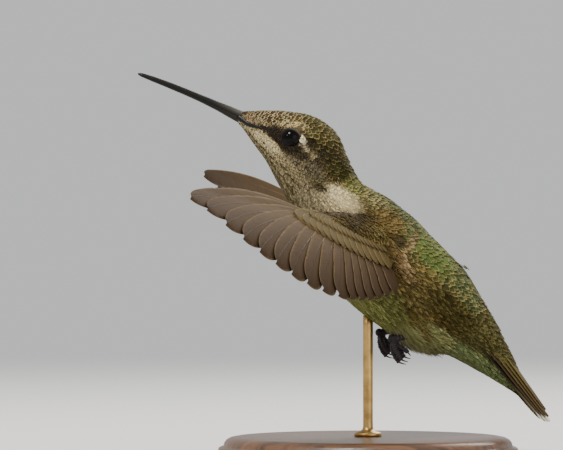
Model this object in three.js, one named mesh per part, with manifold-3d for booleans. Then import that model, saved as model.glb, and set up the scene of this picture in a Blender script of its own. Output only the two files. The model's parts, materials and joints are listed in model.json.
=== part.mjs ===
// A ruby-throated hummingbird, life size, held in hovering flight on a small display stand.
// Millimetres, +Z up. The bird faces -X, its left side is -Y, and the origin is the centre of the
// stand's underside. Each named mesh is one closed solid.
import * as THREE from "three";
import { mergeVertices } from "three/addons/utils/BufferGeometryUtils.js";
import Module from "manifold-3d";

const wasm = await Module();
wasm.setup();
const { Manifold } = wasm;

// ---------------------------------------------------------------- driving dimensions
const JOINT_GAP = 0.3; // clearance between two nodes that meet
const BODY_SIDES = 28; // facets round the head, neck and torso
const RINGS_PER_STATION = 3;

// The body as it hangs in the hover: at each station the point on the back, the point underneath
// and half the width across. [name, back x, back z, under x, under z, half width]
const BODY_STATIONS = [
  ["bill_rim", -20.0, 55.6, -21.1, 54.0, 0.95],
  ["lores", -18.4, 55.6, -19.8, 52.5, 1.9],
  ["forehead", -16.0, 55.7, -18.4, 50.5, 3.2],
  ["eye", -12.3, 55.5, -16.3, 47.6, 4.6],
  ["crown", -8.3, 54.6, -14.6, 44.4, 5.1],
  ["hindcrown", -5.1, 52.2, -13.1, 41.8, 5.3],
  ["nape", -3.0, 47.8, -12.0, 39.8, 5.2],
  ["neck", -1.0, 44.2, -10.6, 36.9, 5.6],
  ["shoulder", 2.7, 42.0, -8.5, 33.0, 6.9],
  ["breast", 7.0, 38.8, -5.9, 28.2, 7.8],
  ["back", 11.5, 34.2, -2.6, 24.7, 7.7],
  ["belly", 15.2, 30.5, 1.6, 21.4, 6.9],
  ["rump", 17.9, 26.2, 6.7, 18.2, 5.5],
  ["vent", 20.3, 22.2, 12.5, 16.7, 4.1],
  ["tail_coverts", 22.6, 17.6, 17.9, 13.9, 3.2],
  ["long_coverts", 24.7, 13.0, 21.8, 11.6, 2.6],
  ["coverts_end", 25.9, 10.9, 24.4, 9.8, 1.9],
];
const NECK_FROM = "nape"; // the head's node ends here
const TORSO_FROM = "shoulder"; // the neck's node ends here
const TAIL_FROM = "vent"; // the torso's node ends here

const EYE = { x: -12.3, z: 51.2, radius: 1.75, centreFromMiddle: 3.65 };
const LIDS = { radius: 1.6, thickness: 0.36, forwards: 0.05, outwards: 0.42, turnDeg: 7 };
const BILL = {
  length: 17.65,
  base: [-20.6, 54.7],
  riseDeg: 23,
  arch: 0.28,
  mouthNotch: 0.2,
  // [share of the length, depth, width]
  sections: [
    [0, 1.9, 1.85],
    [0.08, 1.75, 1.7],
    [0.2, 1.42, 1.45],
    [0.4, 1.12, 1.18],
    [0.65, 1.0, 1.05],
    [0.85, 0.84, 0.9],
    [0.96, 0.62, 0.66],
    [1, 0.3, 0.3],
  ],
};
const MOUTH = { from: [-21.3, 54.35], to: [-18.2, 53.05], height: 0.28, depth: 0.3 };
const NOSTRIL = { alongBill: 1.85, aboveAxis: 0.32, length: 1.3, height: 0.3, depth: 0.3 };

const WING = {
  root: [0.4, 5.0, 37.1], // the shoulder joint; y is its distance from the middle
  span: 51,
  chord: 14.8,
  sweepDeg: 37, // forward of straight out
  pitchRootDeg: 62, // trailing edge down
  pitchTipDeg: 50,
  camber: 0.9,
  flex: 1.6, // rise of the tip out of the wing's plane
  wristAt: 8,
  handEndAt: 16.5,
  tipSetBack: 3, // of the wing tip behind the line of the leading edge
};
const LEFT_WING_RISE_DEG = 6;
const RIGHT_WING_RISE_DEG = 11;

const VANE = { thickness: 0.5, edgeThickness: 0.4, tipThickness: 0.25, leadingShare: 0.34 };
// Share of the length, and there the share of the full width
const VANE_SHAPE = [
  [0, 0.3],
  [0.22, 0.82],
  [0.52, 1],
  [0.8, 0.96],
  [0.95, 0.68],
  [1, 0.26],
];
// Both rows of flight feathers end on the wing's rear edge. A step is how much higher a vane's
// leading side lies than its shaft; bow is a share of the length.
const PRIMARIES = {
  count: 10,
  rootsBack: [0.9, 0.2], // innermost and outermost
  tipsFrom: 18.4,
  widths: [5.6, 4.6],
  bows: [0.05, 0.065],
  step: 0.26,
};
const SECONDARIES = {
  count: 6,
  roots: [7.4, 1.6], // along the span, outermost and innermost
  rootsBack: 1,
  tips: [15, 1.2],
  width: 4.6,
  bow: 0.035,
  step: 0.26,
};
const COVERTS = {
  count: 12,
  roots: [1.2, 16], // along the span, innermost and outermost
  rootsBack: [1, 0.2],
  lengths: [7.4, 6],
  headings: [88, 10], // degrees back from the span
  width: 3.3,
  bow: 0.04,
  step: 0.14,
  lift: 0.5,
};
// The fleshy arm with its small coverts: [along the span, front side, rear side, half thickness]
const ARM_SECTIONS = [
  [-2.5, -2.4, 4.2, 2.0],
  [0, -2.3, 4.6, 2.0],
  [3.5, -1.9, 4.4, 1.55],
  [8, -1.6, 3.4, 1.15],
  [12, -1.1, 2.2, 0.8],
  [16, -0.7, 1.3, 0.55],
  [19, -0.4, 0.5, 0.3],
];
const ARM_SIDES = 14;

const TAIL = {
  pairs: 5,
  tip: [28.9, 6.7],
  dropDeg: 50.5,
  lengths: [24.8, 25.8, 26.0, 25.8, 25.0], // central pair first
  width: 4.6,
  innerSpread: [0.35, 0.9], // of the central pair from the middle, at the root and the tip
  outerSpread: [1.3, 3.0],
  bow: 0.015,
  step: 0.12,
  top: [1.9, 0.1], // of the central pair over the tail's axis, at the root and the tip
  layer: [0.75, 0.22], // of each pair below the one inside it
};

const LEG = { shank: 0.42, pad: 0.52, toe: 0.38, clawTip: 0.11, toeSides: 6, spreadFromMiddle: 2.9 };
// Each shank lies along the belly and the toes hang from it, curled: [x, z] of the heel and ankle
const LEFT_LEG = { heel: [7.6, 19.6], ankle: [5.0, 19.4] };
const RIGHT_LEG = { heel: [5.7, 20.6], ankle: [3.1, 20.25] };
// Toes as [x, y, z] steps from the toes' root: three forward toes and the hind one
const TOES = [
  [[0.2, 0.5, -0.9], [0.8, 0.75, -2.0], [1.6, 0.75, -3.0], [2.5, 0.6, -3.5]], // inner
  [[-0.3, 0.0, -0.9], [-0.2, 0.0, -2.3], [0.7, 0.0, -3.8], [1.8, 0.0, -4.4]], // middle
  [[-0.1, -0.5, -0.9], [0.3, -0.75, -2.2], [1.1, -0.75, -3.4], [2.1, -0.6, -4.0]], // outer
  [[0.4, 0.1, -1.15], [1.3, 0.1, -1.7], [2.1, 0.1, -2.3], [2.4, 0.0, -3.1]], // hind
];

const STAND = { radius: 24, thickness: 3.5, bevel: 0.8, sides: 64 };
const ROD = { radius: 0.8, collarRadius: 2.2, collarHeight: 1.2, reachesInto: 30, sides: 24 };

// ---------------------------------------------------------------- materials
function finish(color, roughness, metalness = 0) {
  return new THREE.MeshStandardMaterial({ color, roughness, metalness });
}
const MATERIALS = {
  crown: finish(0x7d6e45, 0.6, 0.1),
  back: finish(0x5f7040, 0.45, 0.3),
  wing: finish(0x4d443b, 0.65),
  tail: finish(0x44442c, 0.5, 0.15),
  bill: finish(0x1f1d1c, 0.35),
  eye: finish(0x0b0908, 0.08),
  foot: finish(0x2a2526, 0.6),
  wood: finish(0x3b2417, 0.4),
  rod: finish(0xb59a5b, 0.3, 1),
};

// ---------------------------------------------------------------- solids and small helpers
const vec = (x, y, z) => new THREE.Vector3(x, y, z);
const mix = (a, b, t) => a + (b - a) * t;
const radians = THREE.MathUtils.degToRad;
const centreOf = (ring) => ring.reduce((sum, p) => sum.add(p), vec(0, 0, 0)).divideScalar(ring.length);

function solidOf(geometry) {
  const bare = geometry.clone();
  bare.deleteAttribute("normal");
  bare.deleteAttribute("uv");
  const merged = mergeVertices(bare, 1e-4);
  return new Manifold(
    new wasm.Mesh({
      numProp: 3,
      vertProperties: new Float32Array(merged.attributes.position.array),
      triVerts: new Uint32Array(merged.index.array),
    }),
  );
}

function largestPiece(solid) {
  const pieces = solid.decompose();
  return pieces.reduce((best, piece) => (piece.volume() > best.volume() ? piece : best));
}

function geometryOf(solid) {
  const mesh = solid.getMesh();
  const stride = mesh.numProp;
  const positions = new Float32Array(mesh.numVert * 3);
  for (let i = 0; i < mesh.numVert; i++) {
    positions.set(mesh.vertProperties.subarray(i * stride, i * stride + 3), i * 3);
  }
  const geometry = new THREE.BufferGeometry();
  geometry.setAttribute("position", new THREE.BufferAttribute(positions, 3));
  geometry.setIndex(new THREE.BufferAttribute(mesh.triVerts, 1));
  geometry.computeVertexNormals();
  return geometry;
}

function indexed(points, faces) {
  const geometry = new THREE.BufferGeometry();
  const coordinates = points.flatMap((p) => p.toArray());
  geometry.setAttribute("position", new THREE.Float32BufferAttribute(coordinates, 3));
  geometry.setIndex(faces.flat());
  return geometry;
}

// The solid of a closed mesh, turned the right way out.
function facingOut(points, faces) {
  const solid = solidOf(indexed(points, faces));
  if (solid.volume() > 0) return solid;
  return solidOf(indexed(points, faces.map(([a, b, c]) => [a, c, b])));
}

// A closed solid through rings of equal count, capped by a fan at each end.
function loft(rings) {
  const count = rings[0].length;
  const points = rings.flat();
  const faces = [];
  for (let r = 0; r + 1 < rings.length; r++) {
    for (let k = 0; k < count; k++) {
      const a = r * count + k;
      const b = r * count + ((k + 1) % count);
      faces.push([a, b, a + count], [b, b + count, a + count]);
    }
  }
  const first = points.push(centreOf(rings[0])) - 1;
  const last = points.push(centreOf(rings[rings.length - 1])) - 1;
  const top = (rings.length - 1) * count;
  for (let k = 0; k < count; k++) {
    const next = (k + 1) % count;
    faces.push([first, next, k], [last, top + k, top + next]);
  }
  return facingOut(points, faces);
}

// A tube of given radii along points.
function tube(points, radii, sides) {
  const rings = points.map((p, i) => {
    const ahead = points[Math.min(i + 1, points.length - 1)];
    const behind = points[Math.max(i - 1, 0)];
    const along = ahead.clone().sub(behind).normalize();
    const side = vec(0, 1, 0).addScaledVector(along, -along.y).normalize();
    const up = along.clone().cross(side);
    return Array.from({ length: sides }, (_, k) => {
      const a = (2 * Math.PI * k) / sides;
      const sideways = side.clone().multiplyScalar(radii[i] * Math.cos(a));
      return p.clone().add(sideways).addScaledVector(up, radii[i] * Math.sin(a));
    });
  });
  return loft(rings);
}

// A thin plate from a grid of middle points with normals and half thicknesses. Both faces are
// split into triangles along the same diagonals, so they stay apart where the plate curves.
function plate(grid) {
  const rows = grid.length;
  const columns = grid[0].length;
  const points = [];
  for (const side of [1, -1]) {
    for (const row of grid) {
      for (const cell of row) points.push(cell.at.clone().addScaledVector(cell.normal, side * cell.half));
    }
  }
  const top = (r, c) => r * columns + c;
  const under = (r, c) => rows * columns + r * columns + c;
  const faces = [];
  for (let r = 0; r + 1 < rows; r++) {
    for (let c = 0; c + 1 < columns; c++) {
      const [a, b, d, e] = [[r, c], [r + 1, c], [r + 1, c + 1], [r, c + 1]];
      faces.push([top(...a), top(...b), top(...d)], [top(...a), top(...d), top(...e)]);
      faces.push([under(...a), under(...d), under(...b)], [under(...a), under(...e), under(...d)]);
    }
  }
  const border = [];
  for (let c = 0; c < columns; c++) border.push([0, c]);
  for (let r = 1; r < rows; r++) border.push([r, columns - 1]);
  for (let c = columns - 2; c >= 0; c--) border.push([rows - 1, c]);
  for (let r = rows - 2; r > 0; r--) border.push([r, 0]);
  border.forEach(([r, c], i) => {
    const [r2, c2] = border[(i + 1) % border.length];
    faces.push([top(r, c), top(r2, c2), under(r2, c2)], [top(r, c), under(r2, c2), under(r, c)]);
  });
  return facingOut(points, faces);
}

const group = new THREE.Group();
function addNode(name, solid, material) {
  const mesh = new THREE.Mesh(geometryOf(largestPiece(solid)), material);
  mesh.name = name;
  group.add(mesh);
}

// ---------------------------------------------------------------- body
// A curve along the body whose points hold (x, z, half width).
function stationCurve(column) {
  const points = BODY_STATIONS.map((s) => vec(s[column], s[column + 1], s[5]));
  return new THREE.CatmullRomCurve3(points, false, "centripetal");
}
const backCurve = stationCurve(1);
const underCurve = stationCurve(3);
const stationShare = (name) => BODY_STATIONS.findIndex((s) => s[0] === name) / (BODY_STATIONS.length - 1);

// One cross-section: an oval between the back point and the point underneath, grown outwards.
function bodyRing(share, grow = 0) {
  const back = backCurve.getPoint(share);
  const under = underCurve.getPoint(share);
  const centre = vec((back.x + under.x) / 2, 0, (back.y + under.y) / 2);
  const up = vec((back.x - under.x) / 2, 0, (back.y - under.y) / 2);
  const height = up.length();
  up.normalize();
  const halfWidth = (back.z + under.z) / 2;
  return Array.from({ length: BODY_SIDES }, (_, k) => {
    const a = (2 * Math.PI * k) / BODY_SIDES;
    return centre
      .clone()
      .addScaledVector(up, (height + grow) * Math.cos(a))
      .add(vec(0, (halfWidth + grow) * Math.sin(a), 0));
  });
}

function bodyLoft(grow = 0) {
  const last = (BODY_STATIONS.length - 1) * RINGS_PER_STATION;
  const rings = Array.from({ length: last + 1 }, (_, i) => bodyRing(i / last, grow));
  for (const [end, inner] of [[0, 1], [last, last - 1]]) {
    const outwards = centreOf(rings[end]).sub(centreOf(rings[inner])).setLength(grow);
    rings[end].forEach((p) => p.add(outwards));
  }
  return loft(rings);
}

// The half space in front of the section at a station, moved along the body by a distance.
function inFrontOf(name, shift = 0) {
  const share = stationShare(name);
  const back = backCurve.getPoint(share);
  const under = underCurve.getPoint(share);
  const up = vec(back.x - under.x, 0, back.y - under.y).normalize();
  const rear = vec(up.z, 0, -up.x); // towards the tail
  const size = 200;
  const centre = vec((back.x + under.x) / 2, 0, (back.y + under.y) / 2);
  centre.addScaledVector(rear, shift - size / 2);
  const box = new THREE.BoxGeometry(size, size, size);
  box.applyMatrix4(new THREE.Matrix4().makeBasis(rear, vec(0, 1, 0), up).setPosition(centre));
  return solidOf(box);
}

const wholeBody = bodyLoft();
const clearOfBody = bodyLoft(JOINT_GAP);
const upTo = (name, solid) => solid.intersect(inFrontOf(name, -JOINT_GAP / 2));
const behind = (name, solid) => solid.subtract(inFrontOf(name, JOINT_GAP / 2));

function eyeball(side, grow = 0) {
  const ball = new THREE.SphereGeometry(EYE.radius + grow, 18, 12);
  ball.translate(EYE.x, side * EYE.centreFromMiddle, EYE.z);
  return solidOf(ball);
}

// A raised rim round the eye: the upper and lower lid.
function lids(side) {
  const ring = new THREE.TorusGeometry(LIDS.radius, LIDS.thickness, 7, 22);
  ring.rotateX(Math.PI / 2);
  ring.rotateZ(side * radians(LIDS.turnDeg));
  const outwards = EYE.centreFromMiddle + Math.sqrt(EYE.radius ** 2 - LIDS.radius ** 2) + LIDS.outwards;
  ring.translate(EYE.x - LIDS.forwards, side * outwards, EYE.z);
  return solidOf(ring);
}

// The corner of the mouth runs back over the side of the face as a shallow line.
function mouthLine() {
  const [x0, z0] = MOUTH.from;
  const [x1, z1] = MOUTH.to;
  const length = Math.hypot(x1 - x0, z1 - z0);
  const slot = new THREE.BoxGeometry(length, 12, MOUTH.height);
  slot.rotateY(-Math.atan2(z1 - z0, x1 - x0));
  slot.translate((x0 + x1) / 2, 0, (z0 + z1) / 2);
  return solidOf(slot).subtract(bodyLoft(-MOUTH.depth));
}

let head = upTo(NECK_FROM, wholeBody);
for (const side of [-1, 1]) head = head.add(lids(side)).subtract(eyeball(side, JOINT_GAP));
head = head.subtract(mouthLine());
addNode("head", head, MATERIALS.crown);
addNode("eye_left", eyeball(-1), MATERIALS.eye);
addNode("eye_right", eyeball(1), MATERIALS.eye);

addNode("neck", behind(NECK_FROM, upTo(TORSO_FROM, wholeBody)), MATERIALS.crown);
addNode("torso", behind(TORSO_FROM, upTo(TAIL_FROM, wholeBody)), MATERIALS.back);

// ---------------------------------------------------------------- bill
const billAlong = vec(-Math.cos(radians(BILL.riseDeg)), 0, Math.sin(radians(BILL.riseDeg)));
const billUp = vec(Math.sin(radians(BILL.riseDeg)), 0, Math.cos(radians(BILL.riseDeg)));

function billAxis(share) {
  return vec(BILL.base[0], 0, BILL.base[1])
    .addScaledVector(billAlong, BILL.length * share)
    .addScaledVector(billUp, BILL.arch * 4 * share * (1 - share));
}

// The two mandibles close on a line that shows as a notch down each side.
function billRing([share, depth, width]) {
  const sides = 16;
  const notchAt = [sides / 4, (3 * sides) / 4];
  return Array.from({ length: sides }, (_, k) => {
    const a = (2 * Math.PI * k) / sides;
    const inset = notchAt.includes(k) ? 1 - BILL.mouthNotch : 1;
    return billAxis(share)
      .addScaledVector(billUp, (depth / 2) * Math.cos(a))
      .add(vec(0, (width / 2) * inset * Math.sin(a), 0));
  });
}

function nostril(side) {
  const slit = new THREE.SphereGeometry(0.5, 10, 8);
  slit.scale(NOSTRIL.length, NOSTRIL.depth * 2, NOSTRIL.height);
  slit.rotateY(radians(BILL.riseDeg));
  const at = billAxis(NOSTRIL.alongBill / BILL.length).addScaledVector(billUp, NOSTRIL.aboveAxis);
  slit.translate(at.x, side * (BILL.sections[1][2] / 2 - 0.1), at.z);
  return solidOf(slit);
}

let bill = loft(BILL.sections.map(billRing)).subtract(clearOfBody);
for (const side of [-1, 1]) bill = bill.subtract(nostril(side));
addNode("bill", bill, MATERIALS.bill);

// ---------------------------------------------------------------- feathers
// One feather as a plate, drawn in a flat frame of (along, back, up) that place() carries to the
// part. It runs from root to tip, bowed to the front, and its front side is raised by the step.
function vane({ root, tip, width, bow, step, lift = 0 }, place) {
  const length = Math.hypot(tip[0] - root[0], tip[1] - root[1]);
  const heading = [(tip[0] - root[0]) / length, (tip[1] - root[1]) / length];
  const front = [heading[1], -heading[0]];
  return plate(
    VANE_SHAPE.map(([share, widthShare]) => {
      const arch = 4 * bow * length * share * (1 - share);
      const turn = 4 * bow * (1 - 2 * share);
      const at = [0, 1].map((c) => root[c] + heading[c] * length * share + front[c] * arch);
      const forwards = [0, 1].map((c) => (front[c] - heading[c] * turn) / Math.hypot(1, turn));
      const full = width * widthShare;
      const cells = [
        [VANE.leadingShare * full, step, VANE.edgeThickness],
        [0, 0, VANE.thickness],
        [(VANE.leadingShare - 1) * full, -step, VANE.edgeThickness],
      ];
      return cells.map(([offset, height, thickness]) => ({
        ...place(at[0] + forwards[0] * offset, at[1] + forwards[1] * offset, lift + height),
        half: (share === 1 ? VANE.tipThickness : thickness) / 2,
      }));
    }),
  );
}

// ---------------------------------------------------------------- wings
// Carries wing coordinates (along the span, back across the chord, up off the upper face) to the
// part's frame. side is -1 for the left wing and 1 for the right.
function wingPlacer(side, riseDeg) {
  const sweep = radians(WING.sweepDeg);
  const rise = radians(riseDeg);
  const span = vec(-Math.sin(sweep), side * Math.cos(sweep), Math.tan(rise)).normalize();
  const level = vec(Math.cos(sweep), side * Math.sin(sweep), 0);
  const up = span.clone().cross(level).multiplyScalar(-side).normalize();
  const root = vec(WING.root[0], side * WING.root[1], WING.root[2]);
  return (u, v, height) => {
    const share = u / WING.span;
    const pitch = radians(mix(WING.pitchRootDeg, WING.pitchTipDeg, share));
    const back = level.clone().multiplyScalar(Math.cos(pitch)).addScaledVector(up, -Math.sin(pitch));
    const normal = level.clone().multiplyScalar(Math.sin(pitch)).addScaledVector(up, Math.cos(pitch));
    const chordShare = THREE.MathUtils.clamp(v / WING.chord, 0, 1);
    const rest = 4 * WING.camber * chordShare * (1 - chordShare) + WING.flex * share * share;
    const at = root.clone().addScaledVector(span, u).addScaledVector(back, v);
    at.addScaledVector(normal, height + rest);
    return { at, normal };
  };
}

// How far back the wing's rear edge lies at a place along the span.
function rearEdge(u) {
  const handShare = Math.max(0, (u - WING.handEndAt) / (WING.span + 0.6 - WING.handEndAt));
  const armShare = Math.max(0, (WING.handEndAt - u) / WING.handEndAt);
  return WING.chord * Math.pow(1 - Math.pow(handShare, 2.1), 0.7) * (1 - 0.2 * armShare * armShare);
}

// Primary i, where 0 is the innermost. Their tips crowd together towards the wing's tip.
function primary(i) {
  const t = i / (PRIMARIES.count - 1);
  const tipAt = mix(PRIMARIES.tipsFrom, WING.span, 1.25 * t - 0.25 * t * t);
  return {
    root: [mix(WING.wristAt, WING.handEndAt, t), mix(...PRIMARIES.rootsBack, t)],
    tip: [tipAt, t === 1 ? WING.tipSetBack : rearEdge(tipAt)],
    width: mix(...PRIMARIES.widths, t * t),
    bow: mix(...PRIMARIES.bows, t),
    step: PRIMARIES.step,
  };
}

// Secondary i, where 0 is the outermost.
function secondary(i) {
  const t = i / (SECONDARIES.count - 1);
  const tipAt = mix(...SECONDARIES.tips, t);
  return {
    root: [mix(...SECONDARIES.roots, t), SECONDARIES.rootsBack],
    tip: [tipAt, rearEdge(tipAt)],
    width: SECONDARIES.width,
    bow: SECONDARIES.bow,
    step: SECONDARIES.step,
  };
}

// Covert i, counted from the body outwards, lies on top of the flight feathers' roots.
function covert(i) {
  const t = i / (COVERTS.count - 1);
  const heading = radians(mix(...COVERTS.headings, 1 - Math.pow(1 - t, 0.8)));
  const length = mix(...COVERTS.lengths, t);
  const root = [mix(...COVERTS.roots, t), mix(...COVERTS.rootsBack, t)];
  return {
    root,
    tip: [root[0] + length * Math.cos(heading), root[1] + length * Math.sin(heading)],
    width: COVERTS.width,
    bow: COVERTS.bow,
    step: COVERTS.step,
    lift: COVERTS.lift,
  };
}

function wing(side, riseDeg) {
  const place = wingPlacer(side, riseDeg);
  const arm = loft(
    ARM_SECTIONS.map(([u, front, rear, half]) =>
      Array.from({ length: ARM_SIDES }, (_, k) => {
        const a = (2 * Math.PI * k) / ARM_SIDES;
        return place(u, mix(front, rear, (1 + Math.cos(a)) / 2), half * Math.sin(a)).at;
      }),
    ),
  );
  const feathers = [];
  for (let i = 0; i < PRIMARIES.count; i++) feathers.push(primary(i));
  for (let i = 0; i < SECONDARIES.count; i++) feathers.push(secondary(i));
  for (let i = 0; i < COVERTS.count; i++) feathers.push(covert(i));
  return Manifold.union([arm, ...feathers.map((f) => vane(f, place))]).subtract(clearOfBody);
}
addNode("wing_left", wing(-1, LEFT_WING_RISE_DEG), MATERIALS.wing);
addNode("wing_right", wing(1, RIGHT_WING_RISE_DEG), MATERIALS.wing);

// ---------------------------------------------------------------- tail
const tailAlong = vec(Math.cos(radians(TAIL.dropDeg)), 0, -Math.sin(radians(TAIL.dropDeg)));
const tailUp = vec(Math.sin(radians(TAIL.dropDeg)), 0, Math.cos(radians(TAIL.dropDeg)));
const tailLength = Math.max(...TAIL.lengths);
const tailRoot = vec(TAIL.tip[0], 0, TAIL.tip[1]).addScaledVector(tailAlong, -tailLength);

// Pair i, with 0 the central one, lies under the pair inside it. The layers close up to the tip.
function tailFeather(i, side) {
  const t = i / (TAIL.pairs - 1);
  const under = i + (side > 0 ? 0.5 : 0);
  const place = (along, inwards, height) => {
    const share = THREE.MathUtils.clamp(along / tailLength, 0, 1);
    const layer = mix(...TAIL.top, share) - mix(...TAIL.layer, share) * under;
    const at = tailRoot
      .clone()
      .addScaledVector(tailAlong, along)
      .add(vec(0, -side * inwards, 0))
      .addScaledVector(tailUp, height + layer);
    return { at, normal: tailUp.clone() };
  };
  const spread = (end) => -mix(TAIL.innerSpread[end], TAIL.outerSpread[end], t);
  const feather = {
    root: [0, spread(0)],
    tip: [TAIL.lengths[i], spread(1)],
    width: TAIL.width,
    bow: TAIL.bow,
    step: -TAIL.step,
  };
  return vane(feather, place);
}

const rectrices = [];
for (let i = 0; i < TAIL.pairs; i++) {
  for (const side of [-1, 1]) rectrices.push(tailFeather(i, side));
}
addNode("tail", behind(TAIL_FROM, Manifold.union([wholeBody, ...rectrices])), MATERIALS.tail);

// ---------------------------------------------------------------- legs and feet
function shank(leg, side) {
  const heel = vec(leg.heel[0], side * LEG.spreadFromMiddle, leg.heel[1]);
  const ankle = vec(leg.ankle[0], side * LEG.spreadFromMiddle, leg.ankle[1]);
  const middle = heel.clone().lerp(ankle, 0.5);
  const radii = [LEG.shank * 1.5, LEG.shank, LEG.shank * 1.1];
  return tube([heel, middle, ankle], radii, 10).subtract(clearOfBody);
}

function foot(leg, side) {
  const root = vec(leg.ankle[0], side * LEG.spreadFromMiddle, leg.ankle[1]);
  const away = root.clone().sub(vec(leg.heel[0], root.y, leg.heel[1])).normalize();
  const start = root.addScaledVector(away, JOINT_GAP + LEG.pad);
  const pad = new THREE.SphereGeometry(LEG.pad, 12, 8);
  pad.translate(start.x, start.y, start.z);
  const toes = TOES.map((steps) => {
    const knuckles = steps.map((step) => start.clone().add(vec(...step)));
    const points = new THREE.CatmullRomCurve3([start, ...knuckles]).getPoints(7);
    const radii = points.map((_, k) => (k < 5 ? LEG.toe : mix(LEG.toe, LEG.clawTip, (k - 4) / 3)));
    return tube(points, radii, LEG.toeSides);
  });
  return Manifold.union([solidOf(pad), ...toes]);
}

for (const [name, leg, side] of [["left", LEFT_LEG, -1], ["right", RIGHT_LEG, 1]]) {
  const toes = foot(leg, side).subtract(clearOfBody);
  addNode(`leg_${name}`, shank(leg, side), MATERIALS.foot);
  addNode(`foot_${name}`, toes, MATERIALS.foot);
}

// ---------------------------------------------------------------- stand
// A turned solid about the Z axis from [radius, height] points.
function turned(profile, sides) {
  const geometry = new THREE.LatheGeometry(profile.map(([r, z]) => new THREE.Vector2(r, z)), sides);
  geometry.rotateX(Math.PI / 2);
  return solidOf(geometry);
}

const base = turned(
  [
    [0, 0],
    [STAND.radius - STAND.bevel / 2, 0],
    [STAND.radius, STAND.bevel / 2],
    [STAND.radius, STAND.thickness - STAND.bevel],
    [STAND.radius - STAND.bevel, STAND.thickness],
    [0, STAND.thickness],
  ],
  STAND.sides,
);
addNode("stand_base", base, MATERIALS.wood);

// The rod is cut to length by the belly, which it meets.
const rod = turned(
  [
    [0, STAND.thickness],
    [ROD.collarRadius, STAND.thickness],
    [ROD.collarRadius, STAND.thickness + ROD.collarHeight / 2],
    [ROD.radius, STAND.thickness + ROD.collarHeight],
    [ROD.radius, ROD.reachesInto],
    [0, ROD.reachesInto],
  ],
  ROD.sides,
);
addNode("stand_rod", rod.subtract(clearOfBody), MATERIALS.rod);

export default group;
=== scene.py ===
"""A ruby-throated hummingbird on its display stand: skin, feathers, eyes, bill, feet and stand.

Shapes are worked out in millimetres in the part's own frame (+Z up, the bird faces -X, its left
side is -Y) as numpy arrays, and handed to Blender in metres.
"""
import json
from functools import partial

import bpy
import numpy as np
from mathutils import Vector
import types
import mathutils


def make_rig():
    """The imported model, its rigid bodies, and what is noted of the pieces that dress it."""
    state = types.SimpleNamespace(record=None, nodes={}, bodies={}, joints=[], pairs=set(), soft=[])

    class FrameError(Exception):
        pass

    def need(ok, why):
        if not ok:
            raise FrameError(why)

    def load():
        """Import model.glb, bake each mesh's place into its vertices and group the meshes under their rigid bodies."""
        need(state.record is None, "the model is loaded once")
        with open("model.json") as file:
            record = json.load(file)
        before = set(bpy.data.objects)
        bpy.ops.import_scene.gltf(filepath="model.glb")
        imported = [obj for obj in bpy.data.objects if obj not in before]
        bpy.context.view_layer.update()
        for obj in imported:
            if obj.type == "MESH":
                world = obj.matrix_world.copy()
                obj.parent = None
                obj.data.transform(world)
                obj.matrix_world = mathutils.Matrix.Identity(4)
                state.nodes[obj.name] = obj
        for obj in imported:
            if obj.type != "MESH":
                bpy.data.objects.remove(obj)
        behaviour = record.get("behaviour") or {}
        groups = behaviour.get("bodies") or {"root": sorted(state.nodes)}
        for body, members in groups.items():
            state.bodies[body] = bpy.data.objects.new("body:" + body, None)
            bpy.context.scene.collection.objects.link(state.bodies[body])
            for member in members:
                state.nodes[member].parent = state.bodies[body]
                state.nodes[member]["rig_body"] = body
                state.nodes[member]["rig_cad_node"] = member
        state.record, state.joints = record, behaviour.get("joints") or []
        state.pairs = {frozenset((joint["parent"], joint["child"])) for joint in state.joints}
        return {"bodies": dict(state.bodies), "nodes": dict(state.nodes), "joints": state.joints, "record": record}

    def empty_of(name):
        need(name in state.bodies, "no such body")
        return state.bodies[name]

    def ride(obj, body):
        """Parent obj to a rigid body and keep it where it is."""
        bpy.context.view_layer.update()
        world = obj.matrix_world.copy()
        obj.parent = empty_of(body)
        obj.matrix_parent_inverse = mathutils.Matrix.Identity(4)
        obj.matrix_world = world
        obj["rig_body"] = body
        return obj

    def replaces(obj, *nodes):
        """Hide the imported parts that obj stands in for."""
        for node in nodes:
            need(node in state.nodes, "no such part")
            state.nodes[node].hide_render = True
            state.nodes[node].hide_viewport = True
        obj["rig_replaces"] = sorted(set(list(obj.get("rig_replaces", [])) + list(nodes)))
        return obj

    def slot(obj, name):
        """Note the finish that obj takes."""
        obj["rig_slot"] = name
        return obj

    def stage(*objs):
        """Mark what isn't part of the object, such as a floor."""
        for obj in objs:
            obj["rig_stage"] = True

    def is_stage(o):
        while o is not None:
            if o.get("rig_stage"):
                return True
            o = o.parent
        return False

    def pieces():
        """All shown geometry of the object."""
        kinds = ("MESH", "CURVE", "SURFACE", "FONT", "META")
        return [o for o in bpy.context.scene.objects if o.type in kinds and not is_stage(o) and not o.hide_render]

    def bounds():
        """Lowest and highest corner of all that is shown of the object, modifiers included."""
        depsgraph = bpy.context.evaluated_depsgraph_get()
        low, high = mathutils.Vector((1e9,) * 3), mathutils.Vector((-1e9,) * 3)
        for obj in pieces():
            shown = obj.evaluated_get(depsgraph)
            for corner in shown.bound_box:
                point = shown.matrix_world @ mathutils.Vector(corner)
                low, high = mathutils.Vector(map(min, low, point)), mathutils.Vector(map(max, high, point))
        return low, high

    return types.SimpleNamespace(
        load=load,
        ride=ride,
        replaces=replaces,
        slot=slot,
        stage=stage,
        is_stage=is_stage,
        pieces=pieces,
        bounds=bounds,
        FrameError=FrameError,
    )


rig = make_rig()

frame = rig.load()
cad_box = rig.bounds()

MM = 0.001

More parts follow.
